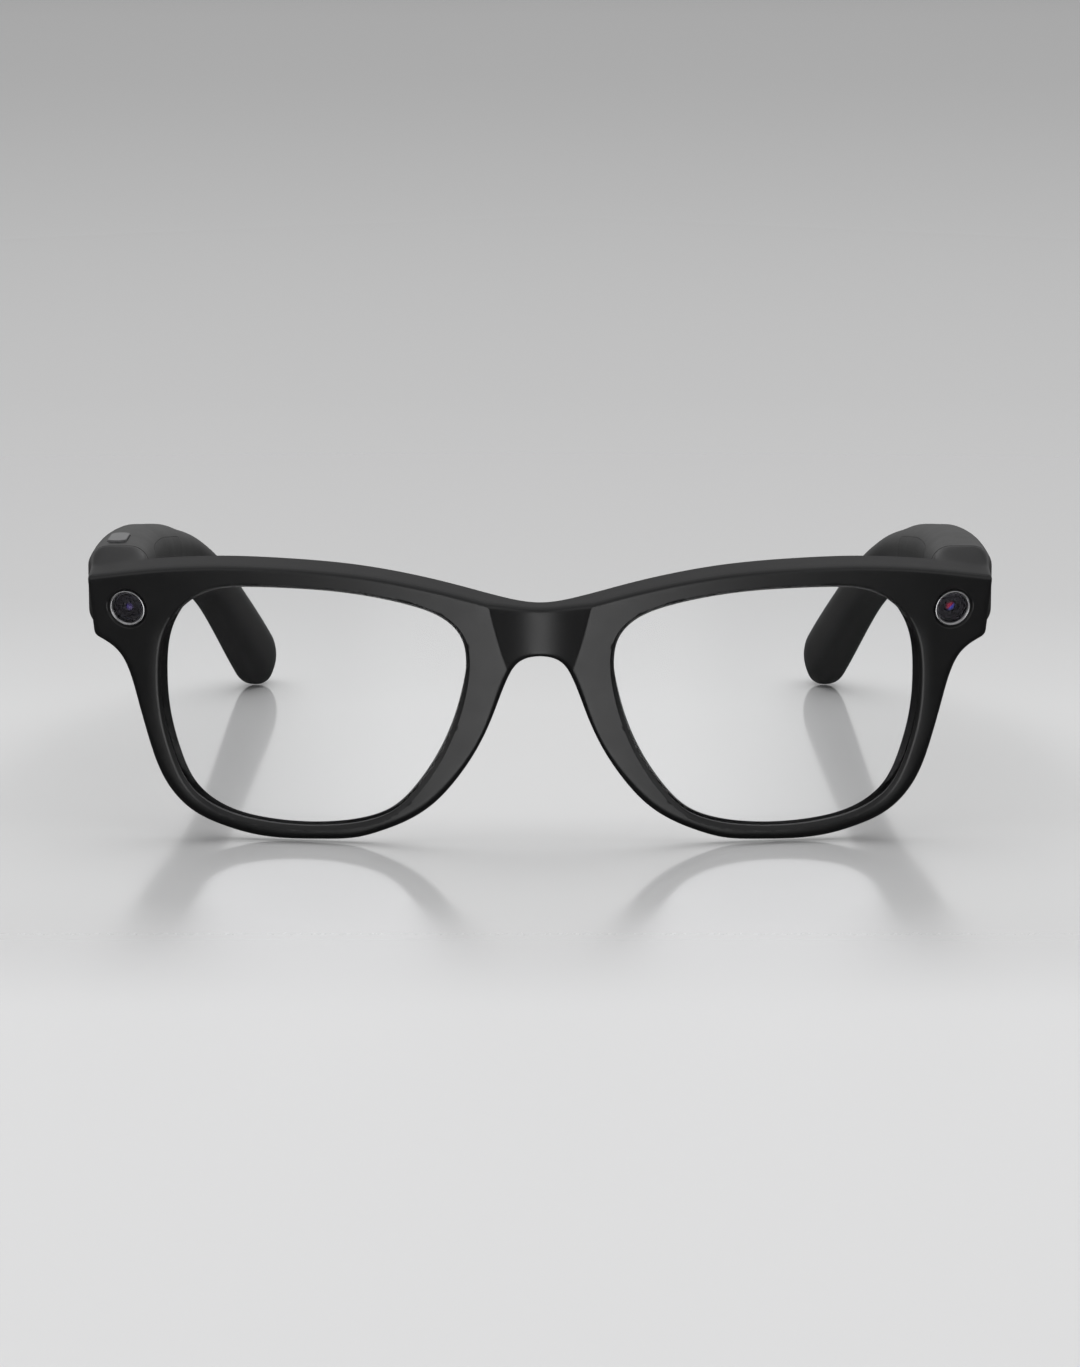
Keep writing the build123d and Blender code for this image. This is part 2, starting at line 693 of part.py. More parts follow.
with BuildPart() as temple_cover_left:
    mirror(cover_common.part, about=Plane.YZ)
    with BuildSketch(switch_plane(60)):
        with Locations((slider_travel / 2, 0)):
            Rectangle(6.6, 2.6)
    extrude(amount=8, mode=Mode.SUBTRACT)
temple_cover_left.part.label = "temple_cover_left"
export_step(temple_cover_left.part, "parts/temple_cover_left.step")

with BuildPart() as power_switch_slider:
    with BuildSketch(switch_plane(62.5)):
        Rectangle(4.0, 2.1)
    extrude(amount=2.7)
    with BuildSketch(switch_plane(65.1)):
        Rectangle(6.0, 4.0)
    extrude(amount=0.5)
power_switch_slider.part.label = "power_switch_slider"
export_step(power_switch_slider.part, "parts/power_switch_slider.step")

with BuildPart() as power_switch_body:
    with BuildSketch(switch_plane(65.8)):
        with Locations((slider_travel / 2, 0)):
            Rectangle(8.4, 4.6)
    extrude(amount=1.6)
power_switch_body.part.label = "power_switch_body"
export_step(power_switch_body.part, "parts/power_switch_body.step")

# capture button: crown follows the temple 0.35 proud, flange under the upper wall
with BuildPart() as capture_button:
    with BuildSketch(Plane(origin=world(button_x, button_y, 42.9), x_dir=(1, 0, 0), z_dir=(0, 0, 1))):
        button_profile(9.0, 3.0)
    extrude(amount=8)
    with Locations(Location((0, 0, 0.4))):
        add(blank_right, mode=Mode.INTERSECT)
    with BuildSketch(Plane(origin=world(button_x, button_y, 42.0), x_dir=(1, 0, 0), z_dir=(0, 0, 1))):
        button_profile(9.0, 3.0)
    extrude(amount=1.2)
capture_button.part.label = "capture_button"
export_step(capture_button.part, "parts/capture_button.step")


def drop(y):
    """Height of the temple's centre line at y."""
    for a, b in zip(stations, stations[1:]):
        if a[1] <= y <= b[1]:
            return a[2] + (b[2] - a[2]) * (y - a[1]) / (b[1] - a[1])
    return stations[0][2]


# ------------------------------------------------------------------ right temple electronics
with BuildPart() as main_circuit_board:
    add(side_prism(67.2, 0.8, 34.0, 67.0, 3.8, 0.6))
main_circuit_board.part.label = "main_circuit_board"
export_step(main_circuit_board.part, "parts/main_circuit_board.step")

with BuildPart() as processor_shield_can:
    add(side_prism(65.6, 1.6, 38.0, 56.0, 4.4, 0.5))
processor_shield_can.part.label = "processor_shield_can"
export_step(processor_shield_can.part, "parts/processor_shield_can.step")

with BuildPart() as memory_chip:
    add(side_prism(66.2, 1.0, 58.0, 65.0, 4.4, 0.3))
memory_chip.part.label = "memory_chip"
export_step(memory_chip.part, "parts/memory_chip.step")

with BuildPart() as touch_sensor_film:
    add(side_prism(71.75, 0.3, 34.0, 70.0, 3.6, 0.8))
touch_sensor_film.part.label = "touch_sensor_film"
export_step(touch_sensor_film.part, "parts/touch_sensor_film.step")

with BuildPart() as button_switch:
    add(box_between(-pocket_x, button_x + 1.0, button_y - 2.2, button_y + 2.2, 39.6, 41.2))
    with BuildSketch(Plane(origin=world(button_x, button_y, 41.2), x_dir=(1, 0, 0), z_dir=(0, 0, 1))):
        Circle(0.7)
    extrude(amount=0.3)
button_switch.part.label = "button_switch"
export_step(button_switch.part, "parts/button_switch.step")


def speaker(side):
    """Open-ear speaker box at the rear of the pocket."""
    with BuildPart() as box:
        add(side_prism(65.4, 5.6, 69.5, 82.5, 4.2, 0.8))
        if side > 0:
            mirror(box.part, about=Plane.YZ, mode=Mode.REPLACE)
    return box.part


def speaker_mesh(side):
    """Perforated strip that closes the outlet in the lower wall."""
    z = drop(speaker_slot_y) - 13.5 / 2
    with BuildPart() as strip:
        with BuildSketch(Plane(origin=world(side * 68.0, speaker_slot_y, z + 0.7), x_dir=(1, 0, 0), z_dir=(0, 0, 1))):
            SlotOverall(9.0, 1.8, rotation=90)
            with GridLocations(0.7, 0.8, 2, 9):
                Circle(0.17, mode=Mode.SUBTRACT)
        extrude(amount=0.5)
    return strip.part


def microphones(side):
    """Two microphone capsules, near the hinge and behind the speaker."""
    with BuildPart() as capsules:
        for y in (30.0, 68.0):
            z = drop(y) - 14.0 / 2 + 3.0
            add(box_between(side * 69.0, side * 71.4, y - 0.9, y + 0.9, z + 0.35, z + 1.15))
    return capsules.part


with BuildPart() as speaker_right:
    add(speaker(-1))
speaker_right.part.label = "speaker_right"
export_step(speaker_right.part, "parts/speaker_right.step")

with BuildPart() as speaker_mesh_right:
    add(speaker_mesh(-1))
speaker_mesh_right.part.label = "speaker_mesh_right"
export_step(speaker_mesh_right.part, "parts/speaker_mesh_right.step")

with BuildPart() as microphones_right:
    add(microphones(-1))
microphones_right.part.label = "microphones_right"
export_step(microphones_right.part, "parts/microphones_right.step")

# ------------------------------------------------------------------ left temple electronics
with BuildPart() as battery:
    mirror(side_prism(66.0, 5.2, 47.5, 68.0, 4.0, 0.9), about=Plane.YZ)
battery.part.label = "battery"
export_step(battery.part, "parts/battery.step")

with BuildPart() as power_board:
    mirror(side_prism(68.2, 0.8, 27.0, 46.0, 3.9, 0.5), about=Plane.YZ)
power_board.part.label = "power_board"
export_step(power_board.part, "parts/power_board.step")

with BuildPart() as speaker_left:
    add(speaker(1))
speaker_left.part.label = "speaker_left"
export_step(speaker_left.part, "parts/speaker_left.step")

with BuildPart() as speaker_mesh_left:
    add(speaker_mesh(1))
speaker_mesh_left.part.label = "speaker_mesh_left"
export_step(speaker_mesh_left.part, "parts/speaker_mesh_left.step")

with BuildPart() as microphones_left:
    add(microphones(1))
microphones_left.part.label = "microphones_left"
export_step(microphones_left.part, "parts/microphones_left.step")
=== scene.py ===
import json
import math

import bmesh
import bpy
import numpy as np
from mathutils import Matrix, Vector
from mathutils.geometry import delaunay_2d_cdt

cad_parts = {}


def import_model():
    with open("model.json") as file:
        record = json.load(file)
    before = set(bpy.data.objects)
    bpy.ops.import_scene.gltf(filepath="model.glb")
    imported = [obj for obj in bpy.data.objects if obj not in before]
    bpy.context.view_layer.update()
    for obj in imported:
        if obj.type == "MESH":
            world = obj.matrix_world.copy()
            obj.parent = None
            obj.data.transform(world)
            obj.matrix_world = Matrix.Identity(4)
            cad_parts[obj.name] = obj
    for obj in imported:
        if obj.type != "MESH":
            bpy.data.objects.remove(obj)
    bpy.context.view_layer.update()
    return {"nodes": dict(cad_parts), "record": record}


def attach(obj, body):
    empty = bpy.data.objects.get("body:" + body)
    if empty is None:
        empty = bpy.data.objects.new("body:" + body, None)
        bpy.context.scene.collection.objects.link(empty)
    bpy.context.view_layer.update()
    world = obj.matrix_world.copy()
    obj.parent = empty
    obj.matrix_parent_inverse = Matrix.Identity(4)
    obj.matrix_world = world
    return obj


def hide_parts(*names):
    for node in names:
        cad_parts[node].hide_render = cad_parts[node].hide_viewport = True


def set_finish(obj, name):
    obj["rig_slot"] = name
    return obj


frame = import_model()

MM = 0.001
scene = bpy.context.scene

# ---------------------------------------------------------------- shared dimensions (mm)
FRONT_Y = -73.52
LIFT = -0.006
TILT = math.radians(10.0)
PLAN_R = 260.0
LENS_R, LENS_T = 140.0, 1.6
LENS_U, LENS_V = 36.2, 23.0
MODULE_U, MODULE_V = 65.9, 38.0
MATE_Y = 20.0
UP = np.array([0.0, -math.sin(TILT), math.cos(TILT)])
BACK = np.array([0.0, math.cos(TILT), math.sin(TILT)])
ORIGIN = np.array([0.0, FRONT_Y + 7.3, -0.3 + LIFT])
XX = np.array([1.0, 0.0, 0.0])

TOP = [(-72.3, 42.8), (-66.3, 44.1), (-61.0, 45.1), (-55.9, 45.8), (-50.7, 46.3), (-43.0, 46.55),
       (-36.0, 46.45), (-29.0, 46.0), (-21.3, 44.9), (-13.7, 43.25), (-6.1, 41.25), (0.0, 40.3)]
LOW = [(-71.5, 32.7), (-69.6, 31.8), (-67.6, 30.2), (-66.0, 27.1), (-64.75, 22.4), (-63.3, 16.3),
       (-61.9, 11.25), (-60.0, 7.2), (-56.3, 3.4), (-51.5, 1.3), (-46.5, 0.1), (-41.0, -0.25),
       (-35.0, 0.0), (-29.4, 0.6), (-25.5, 1.9), (-21.6, 3.7), (-17.7, 6.4), (-13.9, 10.7),
       (-10.0, 17.0), (-7.6, 22.4), (-5.35, 28.5), (-3.5, 31.4), (0.0, 32.3)]
HOLE = [(-46, 43.05), (-40.2, 43.2), (-34, 43.1), (-27.5, 42.5), (-21.2, 41.3), (-17.0, 39.95),
        (-14.2, 38.2), (-12.5, 36), (-11.7, 32), (-12.2, 27.2), (-13.7, 21.4), (-16.4, 15.1),
        (-19.8, 9.8), (-23.7, 5.8), (-28.5, 3.75), (-34, 2.8), (-40, 2.55), (-46.5, 3.1),
        (-52, 4.6), (-56.2, 7.6), (-58.9, 13.2), (-60.5, 20.2), (-60.8, 27), (-60.0, 33.3),
        (-57.6, 38), (-52.8, 41.8)]
# right temple: centre x, y, z, height, thickness, edge radius
STATIONS = np.array([
    (-68.15, 20.3, 40.20, 13.4, 9.9, 3.2), (-68.40, 29.0, 39.85, 13.8, 10.4, 4.0),
    (-68.50, 38.0, 39.45, 14.1, 10.6, 4.5), (-68.50, 47.0, 38.70, 14.1, 10.6, 4.7),
    (-68.50, 55.9, 37.65, 14.0, 10.6, 4.7), (-68.50, 64.8, 36.35, 13.8, 10.6, 4.7),
    (-68.50, 73.7, 35.05, 13.6, 10.5, 4.7), (-68.35, 82.6, 33.85, 13.2, 10.1, 4.5),
    (-67.95, 91.5, 32.60, 12.3, 9.2, 4.1), (-67.10, 100.4, 31.20, 11.1, 8.0, 3.6),
    (-65.60, 109.1, 29.50, 10.1, 6.9, 3.1), (-63.40, 117.2, 26.50, 9.4, 6.2, 2.8),
    (-60.90, 124.6, 21.90, 9.4, 6.1, 2.7), (-58.45, 131.0, 16.10, 10.0, 6.3, 2.8),
    (-56.15, 137.0, 10.16, 10.7, 6.6, 2.9), (-54.60, 140.9, 6.12, 10.9, 6.6, 2.9)])


# ---------------------------------------------------------------- curve helpers
def cubic(points, n, closed=False):
    """Smooth curve through points, chord-length parameter, n samples per span."""
    p = np.array(points, float)
    if closed:
        p = np.vstack([p, p[:1]])
    h = np.linalg.norm(np.diff(p, axis=0), axis=1)
    m = len(p)
    A = np.zeros((m, m))
    rhs = np.zeros((m, p.shape[1]))
    for i in range(1, m - 1):
        A[i, i - 1], A[i, i], A[i, i + 1] = h[i - 1], 2 * (h[i - 1] + h[i]), h[i]
        rhs[i] = 6 * ((p[i + 1] - p[i]) / h[i] - (p[i] - p[i - 1]) / h[i - 1])
    if closed:
        A[0, 0], A[0, -1] = 1, -1
        A[-1, 0], A[-1, 1] = 2 * h[0], h[0]
        A[-1, -1], A[-1, -2] = 2 * h[-1], h[-1]
        rhs[-1] = 6 * ((p[1] - p[0]) / h[0] - (p[-1] - p[-2]) / h[-1])
    else:
        A[0, 0] = A[-1, -1] = 1
    M = np.linalg.solve(A, rhs)
    out = []
    for i in range(m - 1):
        t = np.linspace(0, h[i], n, endpoint=False)[:, None]
        a, b = (h[i] - t), t
        out.append(M[i] * a**3 / (6 * h[i]) + M[i + 1] * b**3 / (6 * h[i])
                   + (p[i] / h[i] - M[i] * h[i] / 6) * a + (p[i + 1] / h[i] - M[i + 1] * h[i] / 6) * b)
    out = np.vstack(out)
    return out if closed else np.vstack([out, p[-1:]])


def resample(p, step, closed=False):
    q = np.vstack([p, p[:1]]) if closed else p
    s = np.concatenate([[0], np.cumsum(np.linalg.norm(np.diff(q, axis=0), axis=1))])
    n = max(int(round(s[-1] / step)), 2)
    t = np.linspace(0, s[-1], n + 1)
    if closed:
        t = t[:-1]
    return np.stack([np.interp(t, s, q[:, k]) for k in range(q.shape[1])], -1)


def soften(p, sigma):
    """Closed loop, smoothed along its length; sigma in samples."""
    r = int(3 * sigma) + 1
    k = np.exp(-0.5 * (np.arange(-r, r + 1) / sigma) ** 2)
    k /= k.sum()
    return sum(w * np.roll(p, -d, axis=0) for w, d in zip(k, range(-r, r + 1)))


def normals(p):
    """Unit normals of a closed loop, to the left of its direction."""
    d = np.roll(p, -1, 0) - np.roll(p, 1, 0)
    d /= np.linalg.norm(d, axis=1)[:, None]
    return np.stack([-d[:, 1], d[:, 0]], -1)


def distance(q, loop):
    """Distance of each point from a closed loop, and the loop's nearest index."""
    a, b = loop, np.roll(loop, -1, 0)
    d = b - a
    dd = (d * d).sum(1)
    best = np.full(len(q), 1e9)
    near = np.zeros(len(q), int)
    for i in range(0, len(q), 1500):
        c = q[i:i + 1500, None, :] - a[None]
        t = np.clip((c * d[None]).sum(-1) / dd[None], 0, 1)
        e = np.linalg.norm(c - t[..., None] * d[None], axis=-1)
        j = e.argmin(1)
        best[i:i + 1500] = e[np.arange(len(j)), j]
        near[i:i + 1500] = j
    return best, near


def inside(q, loop):
    x, y = q[:, 0][:, None], q[:, 1][:, None]
    ax, ay = loop[:, 0][None], loop[:, 1][None]
    bx, by = np.roll(loop[:, 0], -1)[None], np.roll(loop[:, 1], -1)[None]
    res = np.zeros(len(q), bool)
    for i in range(0, len(q), 2000):
        X, Y = x[i:i + 2000], y[i:i + 2000]
        c = ((ay > Y) != (by > Y)) & (X < (bx - ax) * (Y - ay) / (by - ay + 1e-18) + ax)
        res[i:i + 2000] = c.sum(1) % 2 == 1
    return res


def sstep(a, b, x):
    t = np.clip((np.asarray(x, float) - a) / (b - a), 0, 1)
    return t * t * (3 - 2 * t)


def sag(u):
    return PLAN_R - np.sqrt(PLAN_R**2 - np.asarray(u, float) ** 2)


def face(u, v, w):
    u, v, w = np.broadcast_arrays(np.asarray(u, float), np.asarray(v, float), np.asarray(w, float))
    return ORIGIN + u[..., None] * XX + v[..., None] * UP + (sag(u) + w)[..., None] * BACK


def world(x, y, z):
    return np.array([x, y + FRONT_Y, z + LIFT], float)


class Build:
    """Collects vertices (mm, row frame) and faces, then makes one welded mesh."""

    def __init__(self):
        self.v, self.f, self.n = [], [], 0

    def add(self, pts):
        pts = np.asarray(pts, float).reshape(-1, 3)
        self.v.append(pts)
        k = self.n
        self.n += len(pts)
        return np.arange(k, self.n)

    def strip(self, a, b, closed=True):
        n = len(a)
        for i in range(n if closed else n - 1):
            j = (i + 1) % n
            self.f.append((int(a[i]), int(a[j]), int(b[j]), int(b[i])))

    def object(self, name, weld=0.002, angle=32, flip=None):
        me = bpy.data.meshes.new(name)
        me.from_pydata((np.vstack(self.v) * MM).tolist(), [], self.f)
        ob = bpy.data.objects.new(name, me)
        scene.collection.objects.link(ob)
        bm = bmesh.new()
        bm.from_mesh(me)
        bmesh.ops.remove_doubles(bm, verts=bm.verts, dist=weld * MM)
        bmesh.ops.dissolve_degenerate(bm, edges=bm.edges, dist=1e-7)
        loose = [v for v in bm.verts if not v.link_faces]
        bmesh.ops.delete(bm, geom=loose, context="VERTS")
        bmesh.ops.recalc_face_normals(bm, faces=bm.faces)
        bm.to_mesh(me)
        bm.free()
        finish_shading(ob, angle)
        return ob


def finish_shading(ob, angle=32):
    me = ob.data
    for p in me.polygons:
        p.use_smooth = True
    bm = bmesh.new()
    bm.from_mesh(me)
    lim = math.radians(angle)
    for e in bm.edges:
        if len(e.link_faces) == 2:
            e.smooth = e.calc_face_angle(0) < lim
    bm.to_mesh(me)
    bm.free()


def open_edges(ob):
    bm = bmesh.new()
    bm.from_mesh(ob.data)
    n = sum(1 for e in bm.edges if len(e.link_faces) != 2)
    bm.free()
    return n


# ---------------------------------------------------------------- front: loops
left_half = np.vstack([cubic(TOP[::-1] + [], 24)])            # middle of the brow to the end piece
top_curve = cubic(TOP + [(-u, v) for u, v in TOP[:-1][::-1]], 24)
low_curve = cubic(LOW + [(-u, v) for u, v in LOW[:-1][::-1]], 24)
outline = np.vstack([low_curve, top_curve[::-1]])             # anticlockwise
outline = resample(outline, 0.2, closed=True)
outline = soften(outline, 2.6)
outline = resample(outline, 0.38, closed=True)
out_n = normals(outline)                                      # point inwards
hole = {}
for side in (-1, 1):
    h = cubic([(-side * u, v) for u, v in HOLE], 20, closed=True)
    h = soften(resample(h, 0.2, closed=True), 3.5)
    h = resample(h, 0.4, closed=True)
    area = 0.5 * np.sum(h[:, 0] * np.roll(h[:, 1], -1) - np.roll(h[:, 0], -1) * h[:, 1])
    hole[side] = h if area < 0 else h[::-1].copy()            # clockwise, so its normals point into the rim

MOD_A = {s: math.asin(s * MODULE_U / PLAN_R) for s in (-1, 1)}


def module_point(side, a, b, c):
    """Point on a module's own plane: a along the tangent, b up, c outwards."""
    ang = MOD_A[side]
    nrm = XX * math.sin(ang) - BACK * math.cos(ang)
    tan = XX * math.cos(ang) + BACK * math.sin(ang)
    o = face(side * MODULE_U, MODULE_V, 0.0)
    a, b, c = np.broadcast_arrays(np.asarray(a, float), np.asarray(b, float), np.asarray(c, float))
    return o + a[..., None] * tan + b[..., None] * UP + c[..., None] * nrm


SEAT_R = 3.45
circle = np.linspace(0, 2 * np.pi, 72, endpoint=False)
seat = {s: np.stack([s * MODULE_U + SEAT_R * math.cos(MOD_A[s]) * np.cos(circle),
                     MODULE_V + SEAT_R * np.sin(circle)], -1) for s in (-1, 1)}


def thick(v):
    return 3.6 + 2.4 * np.asarray(v, float) / 46.0


def front_radius(v):
    """Rounding of the outer front edge: full on the lower rims, tight on the brow."""
    return 0.75 + 1.15 * (1 - sstep(3.0, 20.0, v)) + 0.25 * sstep(20, 30, v) * (1 - sstep(33, 40, v))


def rear_radius(v):
    return 0.7 + 0.7 * (1 - sstep(4.0, 30.0, v))


def edge_drop(d, r):
    d = np.clip(d, 0, r)
    return r - np.sqrt(np.maximum(r * r - (r - d) ** 2, 0))


SC_R = 15.0


def scoop(u, v):
    dep = 2.3 + (v - 41.0) * 0.134
    x = dep - (SC_R - np.sqrt(np.maximum(SC_R**2 - u * u, 0.01)))
    x = np.where(np.abs(u) > 14, -5, x)
    return 0.5 * (x + np.sqrt(x * x + 0.08**2)) * (x > -2)


def crease(v):
    dep = 2.3 + (v - 41.0) * 0.134
    return math.sqrt(max(SC_R**2 - (SC_R - dep) ** 2, 0.0))


CH = 0.62      # chamfer round the lens opening
RB_HOLE = 0.9


def front_w(q, d_out, d_hole):
    r = front_radius(q[:, 1])
    w = edge_drop(d_out, r)
    t = np.clip(1 - d_hole / CH, 0, 1)
    side = sstep(48, 56, np.abs(q[:, 0])) * (1 - sstep(33, 39, q[:, 1]))
    w = w + CH * 0.85 * (1 - 0.45 * side) * t ** 1.25
    w = w + 0.26 * side * np.clip(1 - d_hole / 2.4, 0, 1) ** 2      # the outer rims roll in towards the lens
    return w + scoop(q[:, 0], q[:, 1])


def pad_height(q, d_out):
    """Nose pads: a fin along each nose rim, highest half way up."""
    v = q[:, 1]
    along = np.where((v > 9.5) & (v < 29.5), np.sin(np.pi * np.clip((v - 9.5) / 20.0, 0, 1)) ** 1.2, 0.0)
    across = 1 - sstep(1.2, 4.3, d_out)
    near_nose = np.abs(q[:, 0]) < 22
    return 5.0 * along * across * near_nose


def rear_w(q, d_out, d_hole):
    r = rear_radius(q[:, 1])
    v = q[:, 1]
    w = thick(v) - edge_drop(d_out, r) - edge_drop(d_hole, RB_HOLE)
    return w + pad_height(q, d_out)


def flare(q, w):
    """Pads lean away from the nose as they rise."""
    v = q[:, 1]
    k = np.where(np.abs(q[:, 0]) < 24, sstep(6, 14, v) * (1 - sstep(25, 31, v)), 0.0)
    grow = np.clip(w - thick(v), 0, None)
    u = q[:, 0] + np.sign(q[:, 0]) * 0.1 * grow * k * (np.abs(q[:, 0]) > 3)
    return u


def surf(q, w):
    return face(flare(q, w), q[:, 1], w)


hole_rear = {}
for s in (-1, 1):
    lp = hole[s]
    hole_rear[s] = lp - np.stack([s * 0.95 * sstep(40, 57, np.abs(lp[:, 0])), np.zeros(len(lp))], -1)


# end piece footprint on the rear face
foot = {}
for s in (-1, 1):
    ia = np.argmin(np.linalg.norm(outline - np.array([s * 63.2, 44.72]), axis=1))
    ib = np.argmin(np.linalg.norm(outline - np.array([s * 71.45, 32.75]), axis=1))
    a, b = outline[ia], outline[ib]
    corner = np.array([s * 63.2, 33.6])
    chain = np.vstack([np.linspace(b, corner, 40), np.linspace(corner, a, 56)[1:]])
    mid = chain.copy()
    for _ in range(30):                                        # eases the inner corner
        mid[1:-1] = 0.25 * mid[:-2] + 0.5 * mid[1:-1] + 0.25 * mid[2:]
    mid = resample(mid, 0.4)
    n = len(outline)
    if s < 0:                                                  # outline runs low side first, then back along the top
        run = np.arange(ia, ib + n + 1) % n if ia > ib else np.arange(ia, ib + 1)
    else:
        run = np.arange(ib, ia + 1) if ib < ia else np.arange(ib, ia + n + 1) % n
    foot[s] = (ia, ib, mid, run)


def region_points(loops, keep, spacing=0.9):
    us = np.arange(-74, 74.01, spacing)
    vs = np.arange(-1, 47.5, spacing * 0.866)
    g = np.array([(u + (0.5 * spacing if j % 2 else 0), v) for j, v in enumerate(vs) for u in us])
    return g


def triangulate(points, chains):
    """Constrained triangulation; chains are index lists."""
    edges = [(int(c[i]), int(c[i + 1])) for c in chains for i in range(len(c) - 1)]
    vs = [Vector((float(x), float(y))) for x, y in points]
    r = delaunay_2d_cdt(vs, edges, [], 0, 1e-7)
    return np.array([tuple(v) for v in r[0]]), [tuple(f) for f in r[2]]


def surface_mesh(B, side_is_front):
    hl = hole if side_is_front else hole_rear
    loops = [outline, hl[-1], hl[1]] + ([seat[-1], seat[1]] if side_is_front else [])
    pts, chains, base = [], [], 0
    for lp in loops:
        pts.append(lp)
        idx = list(range(base, base + len(lp)))
        chains.append(idx + [idx[0]])
        base += len(lp)
    # rows of points that follow the rounded edges
    rows = []
    rad = front_radius(outline[:, 1]) if side_is_front else rear_radius(outline[:, 1])
    for ang in (12, 25, 38, 51, 64, 77, 90):
        d = rad * (1 - math.cos(math.radians(ang)))
        q = outline + out_n * d[:, None]
        dd, _ = distance(q, outline)
        rows.append(q[dd > d - 0.03])
    extra = [2.2, 3.0] if side_is_front else [1.9, 2.6, 3.3, 4.0, 4.7, 5.4, 6.1]
    for d in extra:
        q = (outline + out_n * d)[::2]
        dd, _ = distance(q, outline)
        rows.append(q[dd > d - 0.05])
    for s in (-1, 1):
        nn = normals(hl[s])
        steps = (0.12, 0.25, 0.4, CH, 0.9) if side_is_front else (0.06, 0.2, 0.42, 0.65, 0.9, 1.3)
        for d in steps:
            rows.append(hl[s] + nn * d)
        if side_is_front:
            for d in (0.12, 0.3, 0.6):
                c = np.array([s * MODULE_U, MODULE_V])
                rows.append(c + (seat[s] - c) * (SEAT_R + d) / SEAT_R)
    if side_is_front:
        for v in np.arange(29.5, 42.5, 0.3):
            x = crease(v)
            for k in (-0.5, -0.25, -0.12, -0.05, 0.0, 0.05, 0.12, 0.25, 0.5):
                rows.append(np.array([[x + k, v], [-x - k, v]]))
        g = np.array([(u, v) for u in np.arange(-7.5, 7.51, 0.5) for v in np.arange(30, 41.5, 0.5)])
        rows.append(g)
    rows.append(region_points(None, None, 1.0))
    q = np.vstack(rows)
    # keep points inside the material and clear of the loops
    ok = inside(q, outline)
    for s in (-1, 1):
        ok &= ~inside(q, hl[s])
        if side_is_front:
            ok &= ~inside(q, seat[s])
    q = q[ok]
    for lp, gap in [(outline, 0.012), (hl[-1], 0.03), (hl[1], 0.03)] + ([(seat[-1], 0.05), (seat[1], 0.05)] if side_is_front else []):
        d, _ = distance(q, lp)
        q = q[d > gap]
    # thin out near-duplicates
    key = np.round(q / 0.09).astype(int)
    _, first = np.unique(key, axis=0, return_index=True)
    q = q[np.sort(first)]
    if not side_is_front:
        for s in (-1, 1):
            ia, ib, mid, run = foot[s]
            d, _ = distance(q, np.vstack([mid, mid[::-1]]))
            q = q[d > 0.12]
            idx = [int(ib)] + list(range(base, base + len(mid) - 2)) + [int(ia)]
            pts.append(mid[1:-1])
            base += len(mid) - 2
            chains.append(idx)
    pts.append(q)
    P, T = triangulate(np.vstack(pts), chains)
    T = np.array(T)
    c = P[T].mean(1)
    ok = inside(c, outline)
    for s in (-1, 1):
        ok &= ~inside(c, hl[s])
        if side_is_front:
            ok &= ~inside(c, seat[s])
        else:
            ia, ib, mid, run = foot[s]
            ring = np.vstack([mid, outline[run][::1] if s < 0 else outline[run[::-1]]])
            ok &= ~inside(c, ring)
    T = T[ok]
    # a triangle lying outside a nearly straight edge shares that edge with its neighbour: the thinner goes
    area = np.abs((P[T[:, 1], 0] - P[T[:, 0], 0]) * (P[T[:, 2], 1] - P[T[:, 0], 1])
                  - (P[T[:, 2], 0] - P[T[:, 0], 0]) * (P[T[:, 1], 1] - P[T[:, 0], 1])) / 2
    nl = len(outline)
    users = {}
    for i, t in enumerate(T):
        for a, b in ((t[0], t[1]), (t[1], t[2]), (t[2], t[0])):
            if a < nl and b < nl and (abs(int(a) - int(b)) in (1, nl - 1)):
                users.setdefault((min(a, b), max(a, b)), []).append(i)
    bad = {min(u, key=lambda i: area[i]) for u in users.values() if len(u) > 1}
    T = np.array([t for i, t in enumerate(T) if i not in bad])
    d_out, _ = distance(P, outline)
    d_hole = np.minimum(distance(P, hl[-1])[0], distance(P, hl[1])[0])
    w = front_w(P, d_out, d_hole) if side_is_front else rear_w(P, d_out, d_hole)
    X = surf(P, w)
    k = B.add(X)
    for t in T:
        B.f.append(tuple(int(k[i]) for i in t))


def rounded_rect(w, h, r, nc=11, nx=4, ny=8):
    """Closed section, starting at the middle of the +x side and going anticlockwise."""
    pts = []
    hx, hy = w / 2 - r, h / 2 - r
    for (sx, sy, a0), side_n in zip(((1, 1, 0), (-1, 1, 90), (-1, -1, 180), (1, -1, 270)), (nx, ny, nx, ny)):
        for a in np.radians(np.linspace(a0, a0 + 90, nc)):
            pts.append((sx * hx + r * math.cos(a), sy * hy + r * math.sin(a)))
        ax, ay = pts[-1]
        nxt = {0: (-hx, h / 2), 90: (-w / 2, -hy), 180: (hx, -h / 2), 270: (w / 2, hy)}[a0]
        for k in range(1, side_n):
            pts.append((ax + (nxt[0] - ax) * k / side_n, ay + (nxt[1] - ay) * k / side_n))
    return np.array(pts)


